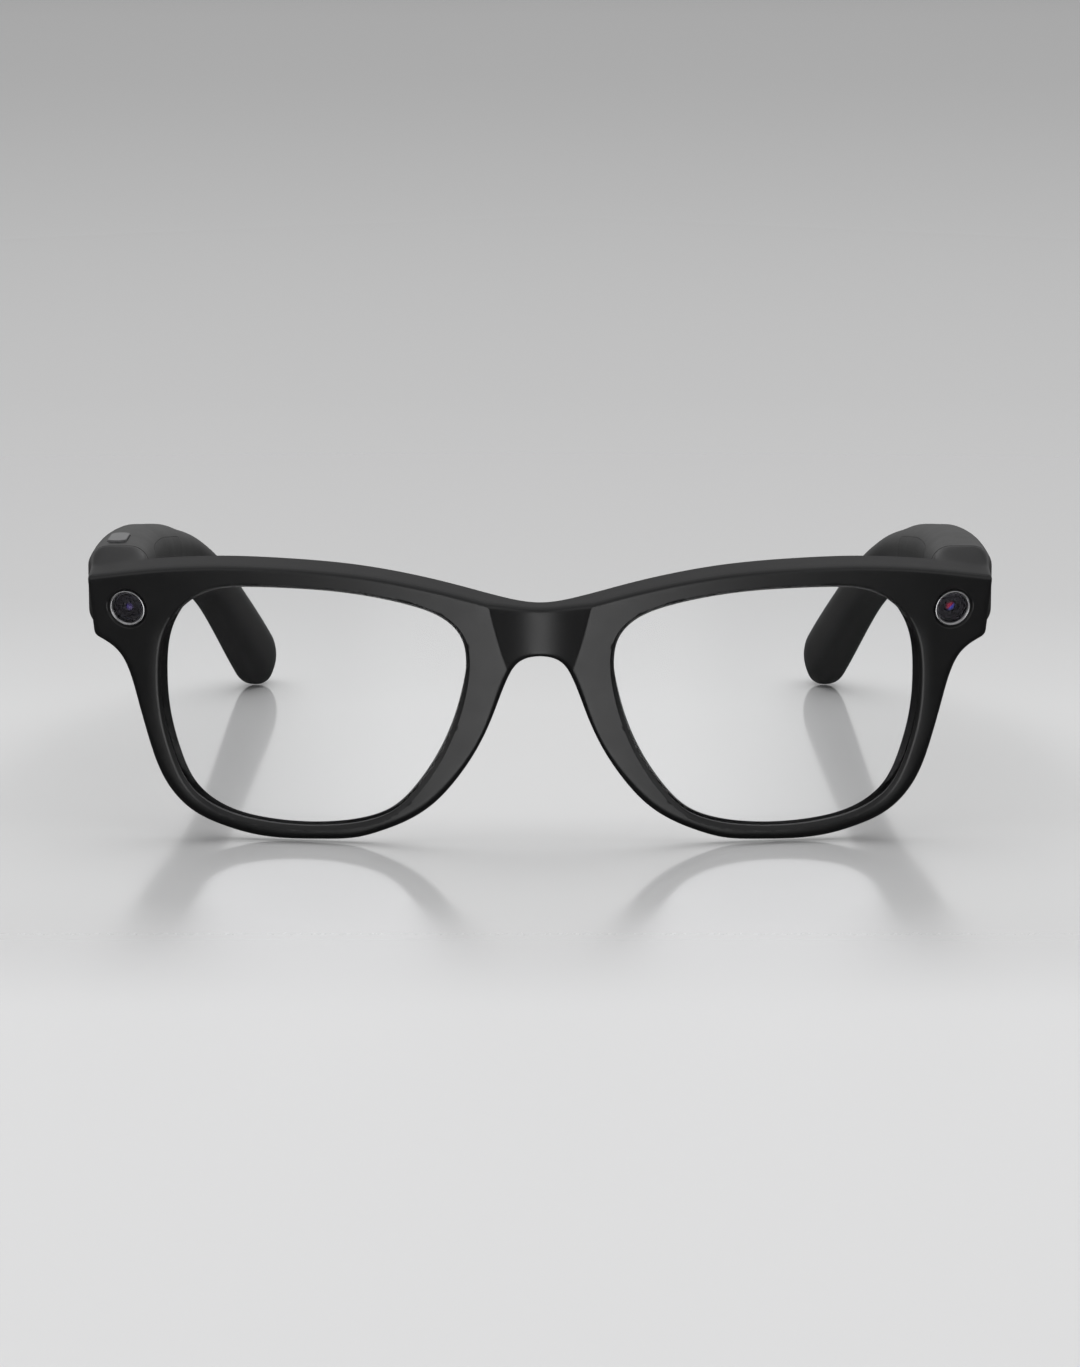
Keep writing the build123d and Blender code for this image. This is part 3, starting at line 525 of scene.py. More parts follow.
def build_front():
    B = Build()
    surface_mesh(B, True)
    surface_mesh(B, False)
    n = len(outline)
    zero = np.zeros(n)
    wf = front_w(outline, zero, np.full(n, 9.0))
    wr = rear_w(outline, zero, np.full(n, 9.0))
    in_foot = np.zeros(n, bool)
    for s in (-1, 1):
        run = foot[s][3]
        in_foot[run[1:-1]] = True
    # outer wall
    steps = 5
    rows = []
    for k in range(steps + 1):
        w = wf + (wr - wf) * k / steps
        rows.append(B.add(surf(outline, w)))
    for a, b in zip(rows, rows[1:]):
        for i in range(n):
            j = (i + 1) % n
            B.f.append((int(a[i]), int(a[j]), int(b[j]), int(b[i])))
    # end pieces: from the rear of the wall back to the joint face
    for s in (-1, 1):
        ia, ib, mid, run = foot[s]
        out_pts = outline[run]                       # s<0: a -> A -> B ; s>0: B -> A -> a
        if s > 0:
            out_pts, o_idx = out_pts[::-1], run[::-1]
        else:
            o_idx = run
        loop_uv = np.vstack([out_pts, mid[1:-1]])    # a, outer, B, inner chain back to a
        m_out = len(out_pts)
        d_l, _ = distance(loop_uv, outline)
        w0 = rear_w(loop_uv, np.where(np.arange(len(loop_uv)) < m_out, 0, d_l), np.full(len(loop_uv), 9.0))
        start = surf(loop_uv, w0)
        # section of the joint face
        sec = rounded_rect(9.9, 13.4, 3.2, nc=17, nx=10, ny=14)
        sec = resample(sec, 0.1, closed=True)
        cx, cz = s * 68.15, 40.2

        def nearest(px, pz):
            return int(np.argmin((sec[:, 0] - px) ** 2 + (sec[:, 1] - pz) ** 2))
        anchors_sec = [nearest(-s * 4.95 + s * 0.94, 6.7 - 0.94), nearest(s * 4.95 - s * 0.94, 6.7 - 0.94),
                       nearest(s * 4.95 - s * 0.94, -6.7 + 0.94), nearest(-s * 4.95 + s * 0.94, -6.7 + 0.94)]
        iA = int(np.argmin(np.linalg.norm(out_pts - np.array([s * 72.2, 42.7]), axis=1)))
        iC = m_out - 1 + int(np.argmin(np.linalg.norm(mid - np.array([s * 63.6, 33.9]), axis=1)))
        anchors_loop = [0, iA, m_out - 1, iC, len(loop_uv)]
        closed_loop = np.vstack([loop_uv, loop_uv[:1]])
        arc = np.concatenate([[0], np.cumsum(np.linalg.norm(np.diff(closed_loop, axis=0), axis=1))])
        target = np.zeros((len(loop_uv), 2))
        N = len(sec)
        for q in range(4):
            l0, l1 = anchors_loop[q], anchors_loop[q + 1]
            s0, s1 = anchors_sec[q], anchors_sec[(q + 1) % 4]
            fwd = (s1 - s0) % N
            bwd = (s0 - s1) % N
            if fwd < bwd:
                path = [(s0 + k) % N for k in range(fwd + 1)]
            else:
                path = [(s0 - k) % N for k in range(bwd + 1)]
            path = sec[path]
            t = (arc[l0:l1] - arc[l0]) / (arc[l1] - arc[l0])
            sp = np.linspace(0, 1, len(path))
            target[l0:l1] = np.stack([np.interp(t, sp, path[:, 0]), np.interp(t, sp, path[:, 1])], -1)
        # last rows: full section just before the face, then a small bevel
        end = np.stack([target[:, 0] + cx, np.full(len(target), MATE_Y - 0.12 + FRONT_Y), target[:, 1] + cz + LIFT], -1)
        L = np.linalg.norm(end - start, axis=1)[:, None]
        prev = B.add(start)
        rows_n = 10
        for k in range(1, rows_n + 1):
            t = k / rows_n
            h00, h10 = 2 * t**3 - 3 * t**2 + 1, t**3 - 2 * t**2 + t
            h01, h11 = -2 * t**3 + 3 * t**2, t**3 - t**2
            p = h00 * start + h10 * (0.45 * L * BACK + 0.5 * (end - start)) + h01 * end + h11 * (0.5 * L * np.array([0, 1.0, 0]) + 0.45 * (end - start))
            cur = B.add(p)
            B.strip(prev, cur)
            prev = cur
        shrink = np.stack([target[:, 0] * (1 - 0.08 / 4.95), target[:, 1] * (1 - 0.08 / 6.7)], -1)
        mid1 = np.stack([target[:, 0] * (1 - 0.025 / 4.95) + cx, np.full(len(target), MATE_Y - 0.03 + FRONT_Y), target[:, 1] * (1 - 0.025 / 6.7) + cz + LIFT], -1)
        m1 = B.add(mid1)
        B.strip(prev, m1)
        cap = B.add(np.stack([shrink[:, 0] + cx, np.full(len(target), MATE_Y + FRONT_Y), shrink[:, 1] + cz + LIFT], -1))
        B.strip(m1, cap)
        prev = cap
        for k in (0.8, 0.5, 0.2):
            ring = B.add(np.stack([shrink[:, 0] * k + cx, np.full(len(target), MATE_Y + FRONT_Y), shrink[:, 1] * k + cz + LIFT], -1))
            B.strip(prev, ring)
            prev = ring
        c = B.add([[cx, MATE_Y + FRONT_Y, cz + LIFT]])[0]
        for i in range(len(prev)):
            B.f.append((int(prev[i]), int(prev[(i + 1) % len(prev)]), int(c)))
        foot[s] = (ia, ib, mid, run)
    # lens openings, with the groove that holds the lens
    for s in (-1, 1):
        lp = hole[s]
        nn = normals(lp)
        m = len(lp)
        z = np.zeros(m)
        d_o, _ = distance(lp, outline)
        wf_h = front_w(lp, d_o, z)
        back_lp = hole_rear[s]
        wr_h = rear_w(back_lp, distance(back_lp, outline)[0], z)
        lf, lb = lens_depth(s, lp)
        g = lp + nn * 0.9
        lfg, lbg = lens_depth(s, g)
        chain = [(lp, wf_h), (lp, np.maximum(lf - 0.1, wf_h + 0.05)), (g, lfg - 0.1), (g, lbg + 0.1), (lp, lb + 0.1)]
        chain += [(lp + (back_lp - lp) * k / 3, lb + 0.1 + (wr_h - lb - 0.1) * k / 3) for k in (1, 2, 3)]
        prev = None
        for q, w in chain:
            cur = B.add(surf(q, w))
            if prev is not None:
                B.strip(prev, cur)
            prev = cur
    # module pockets
    for s in (-1, 1):
        q = seat[s]
        d_o, _ = distance(q, outline)
        w = front_w(q, d_o, np.full(len(q), 9.0))
        prev = B.add(surf(q, w))
        for r, c in ((3.36, -0.08), (3.26, -0.18), (3.18, -0.26), (3.12, -0.3), (3.08, -0.3), (3.04, -0.34), (3.04, -2.5), (3.04, -5.0), (2.0, -5.0), (0.8, -5.0)):
            cur = B.add(module_point(s, r * np.cos(circle), r * np.sin(circle), c))
            B.strip(prev, cur)
            prev = cur
        c = B.add([module_point(s, 0, 0, -5.0)])[0]
        for i in range(len(prev)):
            B.f.append((int(prev[i]), int(prev[(i + 1) % len(prev)]), int(c)))
    return B.object("front_shell", weld=0.004)


def lens_frame(s):
    a = math.asin(s * LENS_U / PLAN_R)
    inward = BACK * math.cos(a) - XX * math.sin(a)
    vertex = face(s * LENS_U, LENS_V, -0.4)
    return vertex, vertex + inward * LENS_R, inward


def lens_depth(s, q):
    """Depth w, behind the front's face, of the lens's front and rear surface."""
    _, centre, _ = lens_frame(s)
    base = face(q[:, 0], q[:, 1], 0.0)
    out = []
    for R in (LENS_R, LENS_R - LENS_T):
        d = base - centre
        b = d @ BACK
        c = (d * d).sum(1) - R * R
        out.append(-b - np.sqrt(b * b - c))
    return out


def build_lens(s):
    """Meniscus lens: rings from its edge to its middle, both faces, with an eased edge."""
    lp = hole[s]
    g = lp + normals(lp) * 0.78
    ctr = np.array([s * LENS_U, LENS_V])
    B = Build()
    fronts, rears = [], []
    for k in (1.0, 0.985, 0.96, 0.92, 0.86, 0.78, 0.68, 0.57, 0.46, 0.35, 0.24, 0.14, 0.06):
        q = ctr + (g - ctr) * k
        lf, lb = lens_depth(s, q)
        if k == 1.0:
            lf, lb = lf + 0.08, lb - 0.08
        fronts.append(B.add(face(q[:, 0], q[:, 1], lf)))
        rears.append(B.add(face(q[:, 0], q[:, 1], lb)))
    for rows in (fronts, rears):
        for a, b in zip(rows, rows[1:]):
            B.strip(a, b)
        q = ctr[None]
        lf, lb = lens_depth(s, q)
        c = B.add(face(q[:, 0], q[:, 1], lf if rows is fronts else lb))[0]
        last = rows[-1]
        for i in range(len(last)):
            B.f.append((int(last[i]), int(last[(i + 1) % len(last)]), int(c)))
    B.strip(fronts[0], rears[0])
    return B.object("lens_" + ("right" if s < 0 else "left") + "_meniscus", angle=40)


# ---------------------------------------------------------------- temples
def soft_section(w, h, r, k):
    """Rounded rectangle, eased towards a superellipse by k."""
    p = rounded_rect(w, h, r)
    if k <= 0:
        return p
    rad = np.linalg.norm(p, axis=1)
    c = p / rad[:, None]
    e = ((np.abs(c[:, 0]) / (w / 2)) ** 2.7 + (np.abs(c[:, 1]) / (h / 2)) ** 2.7) ** (-1 / 2.7)
    return c * (rad * (1 - k) + e * k)[:, None]


def temple_rings(side, grow=0.0):
    fine = cubic(STATIONS, 22)
    seg = np.linalg.norm(np.diff(fine[:, :3], axis=0), axis=1)
    s = np.concatenate([[0], np.cumsum(seg)])
    S = np.concatenate([[0.0, 0.03, 0.1, 0.22, 0.4], np.arange(1.0, s[-1], 0.75), [s[-1]]])
    row = np.stack([np.interp(S, s, fine[:, k]) for k in range(6)], -1)
    C = row[:, :3]
    T = np.gradient(C, axis=0)
    T[:5] = (0, 1, 0)
    k = np.clip((S - 0.4) / 9.0, 0, 1)[:, None]
    T = T / np.linalg.norm(T, axis=1)[:, None]
    T = T * k + np.array([0, 1.0, 0]) * (1 - k)
    T /= np.linalg.norm(T, axis=1)[:, None]
    rings = []
    for i in range(len(S)):
        h, w, r = row[i, 3] + 2 * grow, row[i, 4] + 2 * grow, row[i, 5] + grow
        ins = {0: 0.08, 1: 0.03, 2: 0.0}.get(i, 0.0)
        sec = soft_section(w - 2 * ins, h - 2 * ins, r - ins, 0.9 * float(sstep(88, 118, C[i][1])))
        rings.append((C[i], T[i], sec))
    Te, Ce = T[-1], C[-1]
    h, w, r = row[-1, 3] + 2 * grow, row[-1, 4] + 2 * grow, row[-1, 5] + grow
    L = 6.3 + grow
    for a in np.radians([9, 18, 27, 36, 45, 54, 62, 69, 75, 80, 84, 87]):
        kk = math.cos(a)
        hh, ww = h * kk ** 0.95, w * kk ** 0.62
        sec = soft_section(ww, hh, min(r, ww * 0.485, hh * 0.485), 0.9)
        rings.append((Ce + Te * L * math.sin(a), Te, sec))
    out = []
    for Cc, Tt, sec in rings:
        Bv = np.cross(Tt, [0, 0, 1.0])
        Bv /= np.linalg.norm(Bv)
        Hv = np.cross(Bv, Tt)
        p = Cc + sec[:, :1] * Bv + sec[:, 1:] * Hv
        p = p + np.array([0, FRONT_Y, LIFT])
        if side > 0:
            p = p * np.array([-1, 1, 1])
        out.append(p)
    tip = Ce + Te * (L + 0.0)
    tip = tip + np.array([0, FRONT_Y, LIFT])
    if side > 0:
        tip = tip * np.array([-1, 1, 1])
    return out, tip


def temple_blank(side, name, grow=0.0):
    rings, tip = temple_rings(side, grow)
    B = Build()
    prev = None
    for p in rings:
        cur = B.add(p)
        if prev is not None:
            B.strip(prev, cur)
        prev = cur
    c = B.add([tip])[0]
    for i in range(len(prev)):
        B.f.append((int(prev[i]), int(prev[(i + 1) % len(prev)]), int(c)))
    first = rings[0]
    ctr = first.mean(0)
    prev = B.add(first)
    for k in (0.75, 0.45, 0.18):
        cur = B.add(ctr + (first - ctr) * k)
        B.strip(prev, cur)
        prev = cur
    c = B.add([ctr])[0]
    for i in range(len(prev)):
        B.f.append((int(prev[i]), int(prev[(i + 1) % len(prev)]), int(c)))
    return B.object(name, angle=30)


def side_edges(y0, y1, inset, n=40):
    """Upper and lower edge of the temple's side view, drawn inset."""
    res = []
    for sign in (1, -1):
        pts = []
        for i in range(12):
            x, y, z, h = STATIONS[i][:4]
            a, b = STATIONS[max(i - 1, 0)], STATIONS[min(i + 1, 15)]
            d = np.array([b[1] - a[1], b[2] - a[2]]) if i else np.array([1.0, 0.0])
            d /= np.linalg.norm(d)
            rise = sign * (h / 2 - inset)
            pts.append((y - rise * d[1], z + rise * d[0]))
        pts = cubic(pts, 12)
        ys = np.linspace(y0, y1, n)
        res.append(np.stack([ys, np.interp(ys, pts[:, 0], pts[:, 1])], -1))
    return res


def panel_loop(y0, y1, inset, radius):
    up, lo = side_edges(y0, y1, inset)
    loop = np.vstack([lo, up[::-1]])
    loop = resample(loop, 0.15, closed=True)
    # round the four corners by shrinking, smoothing and keeping the straight edges
    return resample(soften(loop, radius / 0.15 * 0.55), 0.45, closed=True)


def prism_x(loop, x0, x1, name, side):
    """Closed prism along X with a (y, z) profile."""
    B = Build()
    rows = []
    for x in (x0, x1):
        p = np.stack([np.full(len(loop), x), loop[:, 0] + FRONT_Y, loop[:, 1] + LIFT], -1)
        if side > 0:
            p[:, 0] *= -1
        rows.append(B.add(p))
    B.strip(rows[0], rows[1])
    B.f.append(tuple(int(i) for i in rows[0]))
    B.f.append(tuple(int(i) for i in rows[1][::-1]))
    return B.object(name)


def prism_z(loop, z0, z1, name):
    B = Build()
    rows = [B.add(np.stack([loop[:, 0], loop[:, 1] + FRONT_Y, np.full(len(loop), z + LIFT)], -1)) for z in (z0, z1)]
    B.strip(rows[0], rows[1])
    B.f.append(tuple(int(i) for i in rows[0]))
    B.f.append(tuple(int(i) for i in rows[1][::-1]))
    return B.object(name)


def slot_loop(cx, cy, length, width, n=14):
    r = width / 2
    a = np.linspace(0, np.pi, n)
    top = np.stack([cx + r * np.cos(a), cy + (length / 2 - r) + r * np.sin(a)], -1)
    bot = np.stack([cx - r * np.cos(a), cy - (length / 2 - r) - r * np.sin(a)], -1)
    return np.vstack([top, bot])


def boolean(ob, cutter, op="DIFFERENCE", keep=False):
    m = ob.modifiers.new("b", "BOOLEAN")
    m.operation, m.solver, m.object = op, "EXACT", cutter
    dg = bpy.context.evaluated_depsgraph_get()
    me = bpy.data.meshes.new_from_object(ob.evaluated_get(dg))
    old = ob.data
    ob.modifiers.clear()
    ob.data = me
    bpy.data.meshes.remove(old)
    if not keep:
        bpy.data.objects.remove(cutter)
    return ob


def drop(y):
    return float(np.interp(y, STATIONS[:, 1], STATIONS[:, 2]))


pieces = {}


def done(ob, body, slot, *nodes):
    if nodes:
        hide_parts(*nodes)
    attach(ob, body)
    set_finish(ob, slot)
    pieces[ob.name] = ob
    return ob


front = done(build_front(), "front", "frame_plastic", "front_frame")
for s, nm in ((-1, "right"), (1, "left")):
    lens = build_lens(s)
    done(lens, "front", "lens_clear", "lens_" + nm)

for s, nm in ((-1, "right"), (1, "left")):
    body = nm + "_temple"
    shell = temple_blank(s, "temple_skin_" + nm)
    cover = temple_blank(s, "temple_inner_cover_" + nm)
    recess = panel_loop(33.0, 86.0, 2.2, 2.6)
    inset_loop = panel_loop(33.05, 85.95, 2.25, 2.6)
    boolean(shell, prism_x(recess, -64.9, -60.0, "c1", s))
    boolean(cover, prism_x(inset_loop, -64.85, -60.0, "c2", s), "INTERSECT")
    boolean(shell, prism_x(panel_loop(25.5, 84.0, 3.0, 1.4), -72.1, -64.85, "c3", s))
    seat_box = np.array([(20.0, 36.9), (31.2, 36.9), (31.2, 43.1), (20.0, 43.1)])
    slot_c = slot_loop(s * 68.0, 74.5, 9.0, 1.8)
    boolean(shell, prism_z(slot_c, 24.0, 34.0, "c5"))
    if s < 0:
        boolean(shell, prism_z(slot_loop(-68.9, 28.6, 9.3, 3.3), 42.0, 52.0, "c6"))
    else:
        y0, y1, z0, z1 = 41 + 1 - 3.3, 41 + 1 + 3.3, 39.2 - 1.3, 39.2 + 1.3
        sl = np.array([(y0, z0), (y1, z0), (y1, z1), (y0, z1)])
        sl = resample(sl, 0.1, closed=True)
        sl = resample(soften(sl, 3.0), 0.3, closed=True)
        boolean(cover, prism_x(sl, -66.0, -60.0, "c7", s))
    finish_shading(shell, 19)
    finish_shading(cover, 19)
    done(shell, body, "frame_plastic", "temple_shell_" + nm)
    done(cover, body, "cover_plastic", "temple_cover_" + nm)

# capture button: follows the crown of the temple, a little proud
btn = temple_blank(-1, "capture_button_cap", grow=0.32)
boolean(btn, prism_z(slot_loop(-68.9, 28.6, 9.0, 3.0, 20), 42.6, 52.0, "c8"), "INTERSECT")
bev = btn.modifiers.new("bev", "BEVEL")
bev.width, bev.segments, bev.limit_method, bev.angle_limit = 0.18 * MM, 3, "ANGLE", math.radians(50)
dg = bpy.context.evaluated_depsgraph_get()
me = bpy.data.meshes.new_from_object(btn.evaluated_get(dg))
btn.modifiers.clear()
btn.data = me
finish_shading(btn, 40)
done(btn, "capture_button_body", "button_plastic", "capture_button")

print("OPEN EDGES", {k: open_edges(o) for k, o in pieces.items()})


# ---------------------------------------------------------------- turned parts of the modules
def turned(name, side, profile, segs=72):
    """Solid of revolution about a module's axis; profile is (radius, height) from the axis out and back."""
    B = Build()
    rows = []
    ang = np.linspace(0, 2 * np.pi, segs, endpoint=False)
    for r, c in profile:
        if r < 1e-6:
            rows.append(B.add([module_point(side, 0, 0, c)]))
        else:
            rows.append(B.add(module_point(side, r * np.cos(ang), r * np.sin(ang), c)))
    for a, b in zip(rows, rows[1:]):
        if len(a) == 1 or len(b) == 1:
            one, many = (a, b) if len(a) == 1 else (b, a)
            for i in range(segs):
                B.f.append((int(one[0]), int(many[i]), int(many[(i + 1) % segs])))
        else:
            B.strip(a, b)
    return B.object(name, angle=34)


def ring_profile():
    return [(2.45, -1.6), (2.45, -0.28), (2.5, -0.16), (2.58, -0.04), (2.64, 0.03), (2.72, 0.07), (2.82, 0.07),
            (2.9, 0.03), (2.95, -0.06), (2.98, -0.2), (2.98, -1.6), (2.45, -1.6)]


for s, nm in ((1, "camera"), (-1, "led")):
    ring = turned(nm + "_bezel", s, ring_profile(), 96)
    done(ring, "front", "bezel_metal", nm + "_bezel_ring")
    glass = turned(nm + "_window", s, [(0, -0.24), (0.8, -0.245), (1.5, -0.26), (2.1, -0.29), (2.34, -0.33), (2.43, -0.42), (2.43, -0.88), (0, -0.88)])
    done(glass, "front", "module_glass", nm + "_cover_glass")
barrel = turned("camera_barrel", 1, [(0, -3.85), (2.2, -3.85), (2.2, -1.0), (1.95, -0.95), (1.75, -0.95), (1.7, -1.1), (1.5, -1.12), (1.46, -1.28),
                                     (1.3, -1.3), (1.26, -1.46), (1.1, -1.48), (1.06, -1.8), (0, -1.8)])
done(barrel, "front", "module_black", "camera_lens_barrel")
element = turned("camera_front_element", 1, [(0, -1.32), (0.3, -1.335), (0.6, -1.39), (0.85, -1.5), (1.0, -1.62), (1.05, -1.78), (0, -1.78)])
done(element, "front", "module_glass", "camera_lens_element")
guide = turned("led_diffuser", -1, [(0, -3.35), (2.2, -3.35), (2.2, -1.0), (2.1, -0.95), (1.7, -0.95), (1.55, -1.1), (1.5, -1.5), (1.3, -1.62), (1.15, -1.5), (0.9, -1.36), (0.6, -1.27), (0.3, -1.22), (0, -1.2)])
done(guide, "front", "light_guide", "led_light_guide")


# ---------------------------------------------------------------- materials
def new_mat(name):
    m = bpy.data.materials.new(name)
    m.use_nodes = True
    nt = m.node_tree
    p = nt.nodes["Principled BSDF"]
    return m, nt, p


def tex_coord(nt, scale):
    tc = nt.nodes.new("ShaderNodeTexCoord")
    mp = nt.nodes.new("ShaderNodeMapping")
    mp.inputs["Scale"].default_value = scale
    nt.links.new(tc.outputs["Object"], mp.inputs["Vector"])
    return mp.outputs["Vector"]


def noise(nt, vec, scale, detail=3.0, rough=0.55):
    n = nt.nodes.new("ShaderNodeTexNoise")
    n.inputs["Scale"].default_value = scale
    n.inputs["Detail"].default_value = detail
    n.inputs["Roughness"].default_value = rough
    nt.links.new(vec, n.inputs["Vector"])
    return n.outputs["Fac"]


def remap(nt, val, lo, hi, a=0.0, b=1.0):
    m = nt.nodes.new("ShaderNodeMapRange")
    m.inputs["From Min"].default_value, m.inputs["From Max"].default_value = a, b
    m.inputs["To Min"].default_value, m.inputs["To Max"].default_value = lo, hi
    nt.links.new(val, m.inputs["Value"])
    return m.outputs["Result"]


def ramp(nt, val, stops):
    r = nt.nodes.new("ShaderNodeValToRGB")
    e = r.color_ramp.elements
    while len(e) < len(stops):
        e.new(0.5)
    for el, (pos, col) in zip(e, stops):
        el.position = pos
        el.color = (*col, 1)
    nt.links.new(val, r.inputs["Fac"])
    return r.outputs["Color"]


def bump(nt, height, dist, strength=1.0):
    b = nt.nodes.new("ShaderNodeBump")
    b.inputs["Distance"].default_value = dist
    b.inputs["Strength"].default_value = strength
    nt.links.new(height, b.inputs["Height"])
    return b.outputs["Normal"]


def plastic(name, dark, light, r_lo, r_hi, grain=9000, grain_depth=0.000006, spec=0.5):
    """Satin moulded plastic: fine grain, slow changes of tone and sheen."""
    m, nt, p = new_mat(name)
    v = tex_coord(nt, (1, 1, 1))
    slow = noise(nt, v, 60, 3)
    fine = noise(nt, v, grain, 2)
    nt.links.new(ramp(nt, slow, [(0.3, dark), (0.7, light)]), p.inputs["Base Color"])
    add = nt.nodes.new("ShaderNodeMath")
    add.operation = "MULTIPLY_ADD"
    nt.links.new(noise(nt, v, 260, 4), add.inputs[0])
    add.inputs[1].default_value = 0.6
    nt.links.new(fine, add.inputs[2])
    nt.links.new(remap(nt, add.outputs[0], r_lo, r_hi, 0.5, 1.1), p.inputs["Roughness"])
    nt.links.new(bump(nt, fine, grain_depth, 0.6), p.inputs["Normal"])
    p.inputs["Specular IOR Level"].default_value = spec
    return m


def metal(name, dark, light, rough, stretch=(1, 1, 1), scale=900, depth=0.000004):
    m, nt, p = new_mat(name)
    v = tex_coord(nt, stretch)
    f = noise(nt, v, scale, 4)
    nt.links.new(ramp(nt, f, [(0.3, dark), (0.7, light)]), p.inputs["Base Color"])
    nt.links.new(remap(nt, f, rough * 0.75, rough * 1.25, 0.3, 0.7), p.inputs["Roughness"])
    nt.links.new(bump(nt, f, depth, 0.5), p.inputs["Normal"])
    p.inputs["Metallic"].default_value = 1.0
    return m


MAT = {}
MAT["frame_plastic"] = plastic("satin_black", (0.0075, 0.0075, 0.008), (0.0105, 0.0105, 0.011), 0.32, 0.4)
MAT["cover_plastic"] = plastic("fine_black", (0.008, 0.008, 0.0085), (0.011, 0.011, 0.0115), 0.36, 0.46, grain=7000, grain_depth=0.000008)
# painted highlight: the button's base colour is a lighter grey than the frame, standing in for the highlight on its top
MAT["button_plastic"] = plastic("button_grey_painted_highlight", (0.105, 0.105, 0.108), (0.13, 0.13, 0.133), 0.3, 0.4)
MAT["module_black"] = plastic("barrel_black", (0.002, 0.002, 0.0025), (0.004, 0.004, 0.0045), 0.45, 0.6, spec=0.25)
MAT["light_guide"] = plastic("smoky_guide", (0.012, 0.009, 0.028), (0.03, 0.022, 0.06), 0.12, 0.25)
MAT["chip_black"] = plastic("epoxy_black", (0.012, 0.012, 0.012), (0.022, 0.022, 0.022), 0.4, 0.55)
MAT["speaker_plastic"] = plastic("speaker_black", (0.02, 0.02, 0.02), (0.035, 0.035, 0.035), 0.4, 0.6)
MAT["bezel_metal"] = metal("dark_anodised", (0.4, 0.4, 0.41), (0.55, 0.55, 0.56), 0.3)
MAT["hinge_steel"] = metal("hinge_nickel", (0.4, 0.4, 0.41), (0.5, 0.5, 0.51), 0.3, (1, 1, 8), 1500, 0.000002)
MAT["screw_steel"] = metal("screw_steel", (0.55, 0.55, 0.55), (0.66, 0.66, 0.66), 0.22, (1, 1, 1), 2500, 0.000002)
MAT["shield_metal"] = metal("tinned_sheet", (0.5, 0.5, 0.48), (0.7, 0.7, 0.68), 0.28, (1, 3, 1))
MAT["mesh_steel"] = metal("mesh_black", (0.05, 0.05, 0.05), (0.12, 0.12, 0.12), 0.4)
MAT["battery_foil"] = metal("pouch_foil", (0.5, 0.51, 0.53), (0.68, 0.69, 0.7), 0.35, (1, 1, 1), 500, 0.00002)
MAT["gold_contact"] = metal("gold_plate", (0.72, 0.5, 0.19), (0.9, 0.68, 0.32), 0.2)


def board():
    m, nt, p = new_mat("solder_mask")
    v = tex_coord(nt, (1, 1, 1))
    br = nt.nodes.new("ShaderNodeTexBrick")
    br.inputs["Scale"].default_value = 700
    br.inputs["Mortar Size"].default_value = 0.04
    br.inputs["Color1"].default_value = (0.008, 0.07, 0.03, 1)
    br.inputs["Color2"].default_value = (0.01, 0.085, 0.04, 1)
    br.inputs["Mortar"].default_value = (0.02, 0.14, 0.06, 1)
    nt.links.new(v, br.inputs["Vector"])
    nt.links.new(br.outputs["Color"], p.inputs["Base Color"])
    nt.links.new(remap(nt, noise(nt, v, 900, 3), 0.22, 0.4), p.inputs["Roughness"])
    nt.links.new(bump(nt, br.outputs["Fac"], 0.00001, 0.5), p.inputs["Normal"])
    return m


def flex():
    m, nt, p = new_mat("polyimide_film")
    v = tex_coord(nt, (1, 1, 1))
    wv = nt.nodes.new("ShaderNodeTexWave")
    wv.bands_direction = "Z"
    wv.inputs["Scale"].default_value = 1400
    nt.links.new(v, wv.inputs["Vector"])
    nt.links.new(ramp(nt, wv.outputs["Fac"], [(0.45, (0.36, 0.13, 0.02)), (0.6, (0.62, 0.3, 0.1))]), p.inputs["Base Color"])
    nt.links.new(remap(nt, noise(nt, v, 500, 2), 0.25, 0.45), p.inputs["Roughness"])
    return m


def clear_lens():
    """Clear spectacle lens with a faint coating; lamps pass through it."""
    m, nt, p = new_mat("clear_lens")
    p.inputs["Base Color"].default_value = (0.995, 0.998, 1.0, 1)
    p.inputs["Transmission Weight"].default_value = 1.0
    p.inputs["IOR"].default_value = 1.22
    v = tex_coord(nt, (1, 1, 1))
    nt.links.new(remap(nt, noise(nt, v, 140, 4), 0.0, 0.012), p.inputs["Roughness"])
    lp = nt.nodes.new("ShaderNodeLightPath")
    tr = nt.nodes.new("ShaderNodeBsdfTransparent")
    mix = nt.nodes.new("ShaderNodeMixShader")
    nt.links.new(lp.outputs["Is Shadow Ray"], mix.inputs[0])
    nt.links.new(p.outputs[0], mix.inputs[1])
    nt.links.new(tr.outputs[0], mix.inputs[2])
    nt.links.new(mix.outputs[0], nt.nodes["Material Output"].inputs["Surface"])
    return m


def dark_glass():
    """Coated window of the camera and the capture light."""
    m, nt, p = new_mat("coated_window")
    v = tex_coord(nt, (1, 1, 1))
    f = noise(nt, v, 500, 2)
    nt.links.new(ramp(nt, f, [(0.35, (0.56, 0.54, 0.6)), (0.65, (0.64, 0.62, 0.7))]), p.inputs["Base Color"])
    p.inputs["Transmission Weight"].default_value = 1.0
    p.inputs["IOR"].default_value = 1.5
    p.inputs["Specular IOR Level"].default_value = 0.15
    nt.links.new(remap(nt, f, 0.0, 0.02), p.inputs["Roughness"])
    return m


